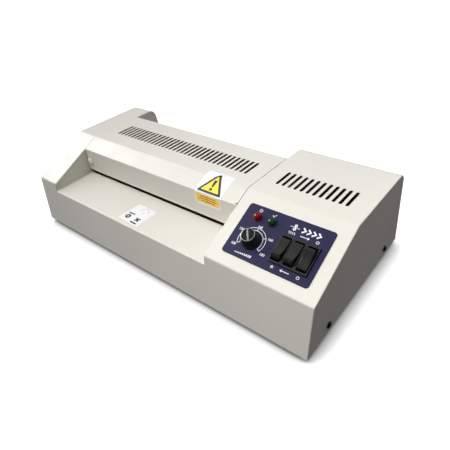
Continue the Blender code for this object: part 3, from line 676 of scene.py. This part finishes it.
def build_cover():
    """Cover between the cheeks: front lip with a hem and a notch, slope strip, vented top, rear lip."""
    left, right = COVER_LOW.x - COVER_SEAM_FILL[0], COVER_HIGH.x + COVER_SEAM_FILL[1]
    front, rear = COVER_LOW.y, COVER_HIGH.y
    corners = [(front, 20), (front, lip_top_z()), tuple(SLOPE_BREAK), (rear, TOP_Z), (rear, 20)]
    cover = prism("cover_shell", round_corners(corners, COVER_BENDS, 10), left, right)
    inner = round_corners(offset_corners(corners, SHEET), COVER_INNER_BENDS, 10)
    combine(cover, prism("tool", inner, left + SHEET, right - SHEET))
    combine(cover, block("tool", (left - 5, -90, 0), (right + 5, 90, COVER_LOW.z)))
    for x in (left, right):
        window_low = (x - 2, front + SHEET, 0)
        combine(cover, block("tool", window_low, (x + 2, rear - SHEET, WINDOW_TOP_Z + 1)))
    combine(cover, vent_pocket(COVER_VENTS))
    for name in COVER_SCREW_HEADS:
        middle = centre_mm(name)
        combine(cover, cylinder(COVER_SCREW_HOLE, -5, 5, axis_frame(middle.x, front, middle.z, "-Y"), 16))
    low = COVER_LOW.z
    hem = [(front + 0.4, low), (front - 0.5, low), (front - 0.5, low + 0.9)]
    hem += [(front - 0.1, low + 1.5), (front + 0.4, low + 1.5)]
    combine(cover, prism("tool", hem, left, right), "UNION")
    notch_low = (left - 0.7, front - 2, low - 5)
    notch_high = (left + 1.0, front + SHEET + 0.1, lip_top_z() - 2.5)
    combine(cover, block("tool", notch_low, notch_high))
    soften(cover, EDGE_ROUNDING, 2, 50)
    combine(cover, slots("tool", COVER_VENTS, TOP_Z - 5, TOP_Z + 5))
    shade(cover)
    dress(cover, "cream_paint", ROOT, "mid_cover")


# ---- fasteners and feet


def cross_recess(place, top, span, depth):
    """Phillips recess cutter: two crossed bars with a pointed middle."""
    width = span * 0.2
    bar = block("tool", (-span / 2, -width / 2, top - depth), (span / 2, width / 2, top + 1), place)
    arm = block("arm", (-width / 2, -span / 2, top - depth), (width / 2, span / 2, top + 1), place)
    combine(bar, arm, "UNION")
    cone = [(0, top - depth * 1.5), (span * 0.24, top - depth * 0.4), (span * 0.24, top + 1), (0, top + 1)]
    combine(bar, lathe("cone", cone, 16, place), "UNION")
    return bar


def pan_head(radius, seat, height, place, name):
    """Domed screw head with its shank and a crossed recess."""
    profile = [(0, -4.2), (1.4, -4.2), (1.4, seat), (radius - 0.15, seat), (radius, seat + 0.15)]
    for step in range(9):
        angle = math.pi / 2 * step / 8
        reach = radius * math.cos(angle) if step < 8 else 0
        profile.append((reach, seat + 0.45 + (height - seat - 0.45) * math.sin(angle)))
    head = lathe(name, profile, 40, place)
    combine(head, cross_recess(place, height, radius * 1.05, 0.9))
    soften(head, 0.08, 2, 45)
    return head


def build_screws():
    radius, height = SIDE_SCREW_HEAD
    for node, (x, y, z, axis) in side_screw_places().items():
        place = axis_frame(x, y, z, axis) @ Matrix.Rotation(0.6 + y * 0.01, 4, "Z")
        head = pan_head(radius, 0.3, height, place, node + "_head")
        dress(head, "black_screw", ROOT, node)
    for node, (radius, height) in COVER_SCREW_HEADS.items():
        middle = centre_mm(node)
        place = axis_frame(middle.x, COVER_LOW.y, middle.z, "-Y") @ Matrix.Rotation(0.4, 4, "Z")
        head = pan_head(radius, 0.3, height, place, node + "_head")
        dress(head, "cream_paint", ROOT, node)


def build_feet():
    for depth_name in ("front", "rear"):
        for side_name in ("left", "right"):
            node = "foot_" + depth_name + "_" + side_name
            middle = centre_mm(node)
            top = box_mm(node)[1].z
            profile = [(0, 1.4), (3.0, 1.4), (3.2, 0.2), (3.6, 0), (7.6, 0), (8.2, 0.3), (8.6, 1.2)]
            profile += [(8.7, 2.6), (8.95, 2.9), (9.0, top - 0.3), (8.7, top), (0, top)]
            foot = lathe(node + "_rubber", profile, 48, axis_frame(middle.x, middle.y, 0, "+Z"))
            shade(foot)
            dress(foot, "foot_rubber", ROOT, node)


# ---- flat print and stickers


def arc(cx, cy, radius, start, end, count=24):
    """Points of an arc, its angles in degrees."""
    points = []
    for i in range(count + 1):
        angle = math.radians(start + (end - start) * i / count)
        points.append((cx + radius * math.cos(angle), cy + radius * math.sin(angle)))
    return points


def stroke(points, width, closed=False):
    """A line of even width as a strip of four-cornered faces."""
    points = [Vector(p) for p in points]
    sides = []
    count = len(points)
    for i, point in enumerate(points):
        before = points[i - 1] if i or closed else point
        after = points[(i + 1) % count] if i < count - 1 or closed else point
        ahead = (after - point).normalized() if (after - point).length else None
        behind = (point - before).normalized() if (point - before).length else None
        along = ((ahead or behind) + (behind or ahead)).normalized()
        across = Vector((-along.y, along.x))
        reach = width / 2 / max(0.35, abs(across.dot(Vector((-(ahead or behind).y, (ahead or behind).x)))))
        sides.append((tuple(point + across * reach), tuple(point - across * reach)))
    faces = []
    for i in range(count if closed else count - 1):
        (a, b), (c, d) = sides[i], sides[(i + 1) % count]
        faces.append([a, c, d, b])
    return faces


def disc(cx, cy, radius, count=32):
    return [arc(cx, cy, radius, 0, 360 - 360 / count, count - 1)]


def text_faces(words, size, cx, cy):
    """Faces of centred digits in Blender's own font."""
    curve = bpy.data.curves.new("digits", "FONT")
    curve.body = words
    curve.size = size
    curve.align_x = "CENTER"
    curve.align_y = "CENTER"
    curve.offset = 0.02 * size
    holder = add_object("digits", curve)
    bpy.context.view_layer.update()
    mesh = bpy.data.meshes.new_from_object(holder.evaluated_get(bpy.context.evaluated_depsgraph_get()))
    faces = []
    for polygon in mesh.polygons:
        faces.append([(mesh.vertices[v].co.x + cx, mesh.vertices[v].co.y + cy) for v in polygon.vertices])
    bpy.data.objects.remove(holder)
    return faces


def flat_print(name, faces, low, high, mapper, folds=()):
    """Thin closed pieces over 2D faces, cut at the folds; mapper turns (x, y, height) into a point."""
    bm = bmesh.new()
    for face in faces:
        corners = [bm.verts.new((x, y, 0)) for x, y in face]
        bm.faces.new(corners)
    bmesh.ops.remove_doubles(bm, verts=bm.verts, dist=1e-4)
    for y in folds:
        geometry = bm.verts[:] + bm.edges[:] + bm.faces[:]
        bmesh.ops.bisect_plane(bm, geom=geometry, plane_co=(0, y, 0), plane_no=(0, 1, 0))
    bmesh.ops.recalc_face_normals(bm, faces=bm.faces)
    base = list(bm.faces)
    grown = bmesh.ops.extrude_face_region(bm, geom=base, use_keep_orig=True)
    upper = {v for v in grown["geom"] if isinstance(v, bmesh.types.BMVert)}
    for vert in bm.verts:
        vert.co = Vector(mapper(vert.co.x, vert.co.y, high if vert in upper else low))
    return finish_mesh(name, bm)


def slope_point(x, distance, height):
    return Vector((x, FRONT_EDGE.x, FRONT_EDGE.y)) + UP_SLOPE * distance + SLOPE_NORMAL * height


def shelf_point(x, y, height):
    """Point above the feed shelf, whose front edge is at front_y."""
    front_y = -93.9
    rise = (SHELF_REAR_Z - SHELF_FRONT_Z) / (ROLLER_BAY[0] - front_y)
    return Vector((x, y, SHELF_FRONT_Z + 0.04 + (y - front_y) * rise + height))


def rounded_sheet(low, high, radius):
    corners = [(low[0], low[1]), (low[0], high[1]), (high[0], high[1]), (high[0], low[1])]
    return [round_corners(corners, [radius] * 4, 8)]


def chevron(x, y, size, width):
    back, tip, half = x - size * 0.3, x + size * 0.3, size * 0.5
    return stroke([(back, y + half), (tip, y), (back, y - half)], width)


def arrow(x, y, length, heading, width):
    """Arrow centred on x, y; heading is +1 to the right or -1 to the left."""
    tip = x + heading * length / 2
    tail = x - heading * length / 2
    head = stroke([(tip - heading * 1.3, y + 1.1), (tip, y), (tip - heading * 1.3, y - 1.1)], width)
    return stroke([(tail, y), (tip - heading * 0.2, y)], width) + head


def heat_waves(x, y, count, gap, height, width):
    faces = []
    for k in range(count):
        middle = x + (k - (count - 1) / 2) * gap
        points = []
        for i in range(13):
            t = i / 12
            points.append((middle + 0.38 * math.sin(2 * math.pi * t), y + height * (t - 0.5)))
        faces += stroke(points, width)
    return faces


def snowflake(x, y, radius, width):
    faces = []
    for k in range(3):
        angle = math.radians(30 + 60 * k)
        dx, dy = radius * math.cos(angle), radius * math.sin(angle)
        faces += stroke([(x - dx, y - dy), (x + dx, y + dy)], width)
    return faces


def power_mark(x, y, radius, width):
    return stroke(arc(x, y, radius, 125, 415), width) + stroke([(x, y + 0.1), (x, y + radius * 1.15)], width)


def tick_mark(x, y, size, width):
    return stroke([(x - size, y), (x - size * 0.3, y - size * 0.7), (x + size, y + size * 0.7)], width)


def dial_faces():
    """Double ring with a cross line at each number, and the numbers round it."""
    cx, cy = KNOB_AT
    angles = list(DIAL_ANGLES.values())
    start, end = angles[0], angles[-1]
    inner, outer, width = 10.7, 13.5, 0.5
    faces = stroke(arc(cx, cy, outer, start, end, 60), width)
    faces += stroke(arc(cx, cy, inner, start, end, 60), width)
    for angle in angles:
        turn = math.radians(angle)
        ends = [(cx + r * math.cos(turn), cy + r * math.sin(turn)) for r in (inner - 0.2, outer + 0.2)]
        faces += stroke(ends, width)
    for words, angle in DIAL_ANGLES.items():
        turn = math.radians(angle)
        shift = 0.0 if words == "120" else 0.8
        faces += text_faces(words, 3.4, cx + shift + 17.6 * math.cos(turn), cy - 0.9 + 15.9 * math.sin(turn))
    return faces


def machine_mark(x, y):
    """Plain pictogram in place of a name: two rollers, a sheet and four chevrons."""
    faces = []
    for dy in (1.75, -1.75):
        faces += stroke(arc(x - 10.5, y + dy, 1.0, 0, 348, 29), 0.9, closed=True)
    faces += stroke([(x - 15.2, y), (x - 6.0, y)], 0.5)
    for k in range(4):
        faces += chevron(x - 1.6 + k * 4.8, y, 5.0, 1.4)
    return faces


def temperature_wedge(x, y):
    """Growing bar under the dial."""
    length, steps = 18.0, 9
    faces = []
    for k in range(steps):
        low = x - length / 2 + k * length / steps
        high = low + 1.35
        top = y - 0.5 + 1.9 * (k + 1) / steps
        faces.append([(low, y - 1), (low, top), (high, top), (high, y - 1)])
    return faces


def panel_faces():
    """All the white print of the control panel, mark by mark."""
    columns = [SWITCH_MIDDLE[0] + k * SWITCH_PITCH for k in (-1, 0, 1)]
    above, below = 52.0, 16.8
    return [
        dial_faces(),
        machine_mark(157.0, 57.9),
        temperature_wedge(KNOB_AT[0], 16.6),
        power_mark(LAMP_X["lamp_power"] - 0.9, 61.9, 1.5, 0.5),
        tick_mark(LAMP_X["lamp_ready"] - 1.6, 61.6, 1.8, 0.6),
        heat_waves(columns[0], above, 4, 1.8, 2.5, 0.5),
        arrow(columns[1], above, 8.5, 1, 0.65),
        power_mark(columns[2], above - 0.1, 1.3, 0.5),
        snowflake(columns[0], below, 1.7, 0.45),
        arrow(columns[1], below, 8.5, -1, 0.65),
        stroke(arc(columns[2], below, 1.2, 0, 348, 29), 0.5, closed=True),
    ]


def build_panel():
    outline = rounded_sheet(PANEL_LOW, PANEL_HIGH, 3)[0]
    label = prism("panel_film", outline, 0.3, PANEL_TOP, "Z", slope_frame(0, 0))
    cut_panel_holes(label)
    soften(label, 0.1, 2, 50)
    dress(label, "panel_print", ROOT, "panel_label")
    for number, faces in enumerate(panel_faces()):
        mark = flat_print("panel_mark_%02d" % number, faces, PANEL_TOP + 0.01, PANEL_TOP + 0.05, slope_point)
        dress(mark, "panel_print", ROOT, material=WHITE_INK)


def cover_profile():
    """Side view of the cover's outside from the lip's lower edge to the flat top, with lengths."""
    corners = [(COVER_LOW.y, COVER_LOW.z), (COVER_LOW.y, lip_top_z())]
    corners += [tuple(SLOPE_BREAK), (COVER_HIGH.y, TOP_Z)]
    points = round_corners(corners, COVER_BENDS[:3] + [0], 10)
    travelled = [0.0]
    for a, b in zip(points, points[1:]):
        travelled.append(travelled[-1] + (Vector(b) - Vector(a)).length)
    return points, travelled


COVER_PATH, COVER_TRAVEL = cover_profile()


def cover_point(x, distance, height):
    """Point at a distance up the cover from its lip's lower edge, standing height off it."""
    i = 0
    while i < len(COVER_TRAVEL) - 2 and COVER_TRAVEL[i + 1] < distance:
        i += 1
    a, b = Vector(COVER_PATH[i]), Vector(COVER_PATH[i + 1])
    along = (b - a).normalized()
    outward = Vector((-along.y, along.x))
    spot = a + along * (distance - COVER_TRAVEL[i]) + outward * height
    return Vector((x, spot.x, spot.y))


def sticker_layer(name, faces, low, high, mapper, material, folds=()):
    layer = flat_print(name, faces, low, high, mapper, folds)
    dress(layer, "cream_paint", ROOT, material=material)


def build_cover_sticker():
    """White base over the lip's fold, a plain yellow triangle above and an orange band below."""
    left, right = 27.0, 61.0
    bottom = 13.5
    top = COVER_TRAVEL[-1] - (COVER_HIGH.y - (-13.5))
    folds = [d for d in COVER_TRAVEL if bottom < d < top]
    base = rounded_sheet((left, bottom), (right, top), 2.5)
    sticker_layer("cover_sticker_base", base, 0.02, 0.10, cover_point, STICKER_WHITE, folds)
    fold_at = lip_top_z() - COVER_LOW.z
    foot = fold_at + 1.0
    middle = (left + right) / 2 + 0.2
    side = 31.6
    tall = side * math.sqrt(3) / 2
    corners = [(middle - side / 2, foot), (middle, foot + tall), (middle + side / 2, foot)]
    border = [round_corners(corners, [1.3] * 3, 6)]
    inner = [round_corners(offset_corners(corners, 2.5), [0.6] * 3, 5)]
    folds = [d for d in COVER_TRAVEL if foot < d < foot + tall]
    sticker_layer("cover_sticker_border", border, 0.11, 0.15, cover_point, STICKER_BLACK, folds)
    sticker_layer("cover_sticker_field", inner, 0.16, 0.20, cover_point, STICKER_YELLOW, folds)
    mark_top, mark_foot = foot + 16.5, foot + 8.2
    mark = [[(middle - 1.9, mark_top), (middle + 1.9, mark_top)]]
    mark[0] += [(middle + 0.9, mark_foot), (middle - 0.9, mark_foot)]
    mark += disc(middle, foot + 5.4, 1.7)
    sticker_layer("cover_sticker_mark", mark, 0.21, 0.25, cover_point, STICKER_BLACK, folds)
    band_low, band_high = fold_at - 12.0, fold_at - 1.6
    band = rounded_sheet((left + 1.4, band_low), (right - 1.2, band_high), 0.5)
    sticker_layer("cover_sticker_band", band, 0.11, 0.15, cover_point, STICKER_ORANGE)
    bars = []
    for row, span in enumerate((20, 23, 17)):
        y = band_high - 2.6 - row * 2.6
        bars += stroke([(middle - span / 2, y), (middle + span / 2, y)], 1.0)
    sticker_layer("cover_sticker_lines", bars, 0.16, 0.19, cover_point, STICKER_BROWN)


def build_shelf_sticker():
    """White square on the shelf with a ring, a cross, two bars and a faint arc."""
    corners = [(-49.7, -88.7), (-47.3, -59.4), (-17.3, -60.0), (-17.6, -90.7)]
    base = [round_corners(corners, [1.2] * 4, 6)]
    sticker_layer("shelf_sticker_base", base, 0.02, 0.10, shelf_point, STICKER_WHITE)
    marks = {
        "ring": stroke(arc(-41.1, -81.6, 2.25, 0, 348, 29), 2.3, closed=True),
        "bar_rear": stroke([(-45.2, -75.9), (-36.0, -75.9)], 1.7),
        "bar_front": stroke([(-31.6, -87.0), (-22.4, -87.4)], 2.0),
        "cross_a": stroke([(-29.2, -83.7), (-24.0, -78.7)], 2.2),
        "cross_b": stroke([(-29.2, -78.7), (-24.0, -83.7)], 2.2),
    }
    for name, faces in marks.items():
        level = 0.15 if name == "cross_b" else 0.11
        sticker_layer("shelf_sticker_" + name, faces, level, level + 0.03, shelf_point, STICKER_BLACK)
    faint = stroke(arc(-30.5, -66.8, 5.2, -10, 200, 30), 1.6) + disc(-29.4, -69.8, 1.2)
    sticker_layer("shelf_sticker_arc", faint, 0.11, 0.13, shelf_point, STICKER_GREY)


# ---- controls


def build_knob():
    """Fluted knob with a skirt, a silver ring round the cap and a pointer bar across it."""
    place = slope_frame(*KNOB_AT)
    base = PANEL_TOP + 0.5

    def flutes(angle, height):
        if not base + 2.6 < height < 11.4:
            return 1.0
        return 1.0 - 0.045 * (0.5 + 0.5 * math.cos(24 * angle)) ** 2

    profile = [(0, 9.8), (2.9, 9.8), (2.9, base), (8.9, base), (9.2, base + 0.3), (9.2, base + 1.1)]
    profile += [(8.9, base + 1.5), (8.0, base + 1.9), (7.75, base + 2.4), (7.7, base + 2.9)]
    profile += [(7.5, base + 4.5), (7.2, 9.2), (7.05, 11.0), (7.0, 11.3), (6.95, 11.6), (6.75, 11.9)]
    profile += [(6.45, 12.0), (5.9, 12.0), (5.8, 11.85), (0, 11.85)]
    knob = lathe("knob_body", profile, 240, place, swell=flutes)
    shade(knob, 50)
    dress(knob, "black_plastic", "knob", "temperature_knob", material=KNOB_BLACK)
    ring_profile = [(5.95, 12.01), (6.0, 12.12), (6.5, 12.14), (6.75, 12.0), (6.7, 11.94), (5.95, 11.94)]
    ring = lathe("knob_ring", ring_profile, 96, place, closed=True)
    shade(ring, 50)
    dress(ring, "shaft_steel", "knob", material=SILVER)
    turned = place @ Matrix.Rotation(POINTER_ANGLE, 4, "Z")
    pointer = block("knob_pointer", (-5.85, -0.75, 11.8), (5.85, 0.75, 12.1), turned)
    soften(pointer, 0.1, 2, 40)
    dress(pointer, "shaft_steel", "knob", material=SILVER)


def build_lamps():
    """Round tinted lens, domed over a short cylinder, on a thin flange."""
    under = PANEL_TOP + 0.3
    for node, x in LAMP_X.items():
        slot = "red_lens" if node == "lamp_power" else "green_lens"
        place = slope_frame(x, LAMP_S)
        flange = [(0, -14), (3.4, -14), (3.4, under), (4.4, under), (4.6, under + 0.2)]
        flange += [(4.6, under + 0.7), (4.35, under + 0.95), (4.0, under + 1.0), (0, under + 1.0)]
        rim = lathe(node + "_flange", flange, 64, place)
        shade(rim)
        dress(rim, slot, ROOT, node)
        radius, shoulder, rise = 3.85, under + 2.0, 2.6
        cap = [(0, under + 1.05), (radius, under + 1.05)]
        for step in range(10):
            angle = math.pi / 2 * step / 10
            cap.append((radius * math.cos(angle), shoulder + rise * math.sin(angle)))
        dome = lathe(node + "_dome", cap + [(0, shoulder + rise)], 48, place)
        shade(dome, 60)
        dress(dome, slot, ROOT)


def build_switches():
    """Three snap-in rockers side by side: bezel, pocket and the tilting rocker."""
    for name, (column, raised_end) in SWITCHES.items():
        x = SWITCH_MIDDLE[0] + column * SWITCH_PITCH
        place = slope_frame(x, SWITCH_MIDDLE[1])
        under = PANEL_TOP + 0.3
        half = (SWITCH_PITCH - 0.3) / 2
        across, along = SWITCH_BODY_HALF
        housing = block("switch_body_" + name, (-across, -along, -19), (across, along, under + 1), place)
        bezel = block("tool", (-half, -BEZEL_HALF, under), (half, BEZEL_HALF, under + 1.9), place)
        combine(housing, bezel, "UNION")
        across, along = POCKET_HALF
        combine(housing, block("tool", (-across, -along, -6.5), (across, along, 10), place))
        for y in (-7, 0, 7):
            combine(housing, block("tool", (-3, y - 0.4, -27), (3, y + 0.4, -18), place), "UNION")
        soften(housing, 0.35, 3, 40)
        dress(housing, "black_plastic", ROOT, "switch_housing_" + name)
        outline = round_corners(ROCKER_OUTLINE, [1.5, 1.6, 20, 1.6, 1.5], 10)
        pivot = slope_frame(x, SWITCH_MIDDLE[1], 1.0) @ Matrix.Rotation(raised_end * ROCKER_TILT, 4, "X")
        rocker = prism("rocker_cap_" + name, outline, -4.4, 4.4, "X", pivot)
        soften(rocker, 0.5, 4, 60)
        dress(rocker, "black_plastic", name + "_rocker", "rocker_" + name, material=GLOSS_BLACK)


# ---- rear inlet, rollers and springs


def build_inlet():
    place = rear_frame(*INLET_AT)
    inlet = block("inlet_body", (-13.5, -9.9, -20), (13.5, 9.9, 1.3), place)
    corners = [(-16, -12), (-16, 12), (16, 12), (16, -12)]
    flange = prism("tool", round_corners(corners, [1.5] * 4, 6), 0.3, 2.8, "Z", place)
    combine(inlet, flange, "UNION")
    socket = [(-12, -7.8), (-12, 3.6), (-8, 7.8), (8, 7.8), (12, 3.6), (12, -7.8)]
    combine(inlet, prism("tool", round_corners(socket, [0.8] * 6, 4), -16, 5, "Z", place))
    soften(inlet, 0.3, 3, 40)
    dress(inlet, "black_plastic", ROOT, "mains_inlet")
    for number, (x, y) in enumerate(((-7, -1.5), (7, -1.5), (0, 2.5))):
        blade = block("inlet_blade_%d" % number, (x - 1, y - 2, -15.9), (x + 1, y + 2, -6), place)
        soften(blade, 0.4, 3, 40)
        dress(blade, "spring_steel", ROOT, material=BLADE_METAL)


def build_sleeves():
    for row in ("front", "rear"):
        for level in ("lower", "upper"):
            node = "roller_sleeve_" + row + "_" + level
            low, high = box_mm(node)
            middle = centre_mm(node)
            radius = (high.z - low.z) / 2
            length = high.x - low.x
            bore = 8.4
            profile = [(bore, 0), (radius - 0.8, 0), (radius - 0.2, 0.25), (radius, 0.9)]
            profile += [(radius, length - 0.9), (radius - 0.2, length - 0.25)]
            profile += [(radius - 0.8, length), (bore, length)]
            place = axis_frame(low.x, middle.y, middle.z, "+X")
            sleeve = lathe(node + "_rubber", profile, 96, place, closed=True)
            shade(sleeve, 50)
            dress(sleeve, "red_silicone", row + "_" + level + "_roller", node)


def coil(name, centre, radius, wire, low_z, high_z):
    """Compression spring: open turns between two closed end turns."""
    turns, per_turn, sides = 5, 24, 10
    closed = 2.1 * wire
    pitch = (high_z - low_z - 2 * wire - 2 * closed) / (turns - 2)
    bm = bmesh.new()
    rings = []
    for i in range(turns * per_turn + 1):
        turn = i / per_turn
        height = closed * min(turn, 1) + pitch * min(max(turn - 1, 0), turns - 2)
        height += closed * max(turn - turns + 1, 0)
        angle = 2 * math.pi * turn
        outward = Vector((math.cos(angle), math.sin(angle), 0))
        middle = Vector((centre.x, centre.y, low_z + wire + height)) + outward * radius
        ring = []
        for k in range(sides):
            around = 2 * math.pi * k / sides
            offset = outward * math.cos(around) + Vector((0, 0, math.sin(around)))
            ring.append(bm.verts.new(middle + offset * wire))
        rings.append(ring)
    for lower, upper in zip(rings, rings[1:]):
        for k in range(sides):
            j = (k + 1) % sides
            bm.faces.new((lower[k], lower[j], upper[j], upper[k]))
    bm.faces.new(rings[0])
    bm.faces.new(rings[-1])
    spring = finish_mesh(name, bm)
    smooth(spring, 50)
    return spring


def build_springs():
    """Springs on the upper bushes, each coiled between the ends of its CAD node."""
    wire = 0.45
    for row in ("front", "rear"):
        for side_name in ("left", "right"):
            node = "pressure_spring_" + row + "_" + side_name
            low, high = box_mm(node)
            middle = centre_mm(node)
            spring = coil(node + "_coil", middle, (high.y - low.y) / 2 - wire, wire, low.z, high.z)
            dress(spring, "spring_steel", ROOT, node)
            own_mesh(spring)


# ---- studio


def plane(name, size, place, material):
    bm = bmesh.new()
    half = size / 2
    corners = ((-half, -half, 0), (half, -half, 0), (half, half, 0), (-half, half, 0))
    bm.faces.new([bm.verts.new(p) for p in corners])
    mesh = bpy.data.meshes.new(name)
    bm.to_mesh(mesh)
    bm.free()
    item = add_object(name, mesh)
    item.matrix_world = place
    item.data.materials.append(material)
    return item


def surround(world, level, tilt):
    """Light that changes evenly from side to side: level plus tilt times the direction."""
    world.use_nodes = True
    tree = world.node_tree
    way = tree.nodes.new("ShaderNodeTexCoord").outputs["Generated"]
    lean = tree.nodes.new("ShaderNodeVectorMath")
    lean.operation = "DOT_PRODUCT"
    lean.inputs[1].default_value = tilt
    tree.links.new(way, lean.inputs[0])
    total = tree.nodes.new("ShaderNodeMath")
    total.operation = "ADD"
    total.use_clamp = True
    total.inputs[1].default_value = level
    tree.links.new(lean.outputs["Value"], total.inputs[0])
    seen = tree.nodes.new("ShaderNodeLightPath").outputs["Is Camera Ray"]
    strength = tree.nodes.new("ShaderNodeMix")
    tree.links.new(seen, strength.inputs[0])
    tree.links.new(total.outputs["Value"], strength.inputs[2])
    strength.inputs[3].default_value = 1.0
    tree.links.new(strength.outputs[0], tree.nodes["Background"].inputs["Strength"])
    tree.nodes["Background"].inputs["Color"].default_value = (1, 1, 1, 1)


def build_studio():
    """A lit white table with a painted contact shadow round the machine, a surround that is darker to the
    right, a broad key lamp and a side glint.
    """
    paper = Shader("studio_paper_with_painted_shadow")
    paper.set(Roughness=0.9, Emission_Strength=0.7)
    # Painted contact shadow: the table's colour and glow darken where the machine stands within 22 mm above
    # it.
    painted_contact_shadow = paper.node("ShaderNodeAmbientOcclusion", samples=12)
    painted_contact_shadow.inputs["Distance"].default_value = 0.022
    paper_tone_with_painted_shadow = paper.ramp(painted_contact_shadow.outputs["AO"], [(0.35, (0.14, 0.14, 0.14)), (0.95, (0.93, 0.93, 0.93))])
    paper.colour(paper_tone_with_painted_shadow)
    paper.link(paper_tone_with_painted_shadow, paper.surface.inputs["Emission Color"])
    table = plane("studio_floor", 12.0, Matrix.Identity(4), paper.material)
    table.visible_diffuse = False
    table.visible_glossy = False
    table.visible_shadow = False
    world = bpy.data.worlds.new("studio")
    bpy.context.scene.world = world
    surround(world, 0.325, (-0.28, 0.165, 0.25))
    key = bpy.data.lights.new("key", "SPOT")
    key.energy = 71
    key.spot_size = math.radians(60)
    key.spot_blend = 1.0
    key.shadow_soft_size = 0.5
    lamp = add_object("key", key)
    lamp.visible_glossy = False
    lamp.location = KEY_AT
    lamp.rotation_euler = (Vector(KEY_AIM) - lamp.location).to_track_quat("-Z", "Y").to_euler()
    side = bpy.data.lights.new("side", "AREA")
    side.size = 0.3
    side.energy = 8
    glint = add_object("side", side)
    glint.visible_diffuse = False
    glint.location = SIDE_AT
    glint.rotation_euler = Vector(SIDE_WAY).to_track_quat("-Z", "Y").to_euler()
    bpy.context.scene.view_settings.view_transform = "Standard"


def build_camera():
    data = bpy.data.cameras.new("camera")
    data.lens = CAMERA_LENS
    data.sensor_width = 36.0
    data.clip_start = 0.01
    data.clip_end = 50
    camera = add_object("camera", data)
    camera.location = CAMERA_AT
    camera.rotation_euler = tuple(math.radians(a) for a in CAMERA_TURN)
    bpy.context.scene.camera = camera


build_camera()
build_studio()
dress_cad_nodes()
build_casing()
build_cover()
build_screws()
build_feet()
build_panel()
build_cover_sticker()
build_shelf_sticker()
build_knob()
build_lamps()
build_switches()
build_inlet()
build_sleeves()
build_springs()
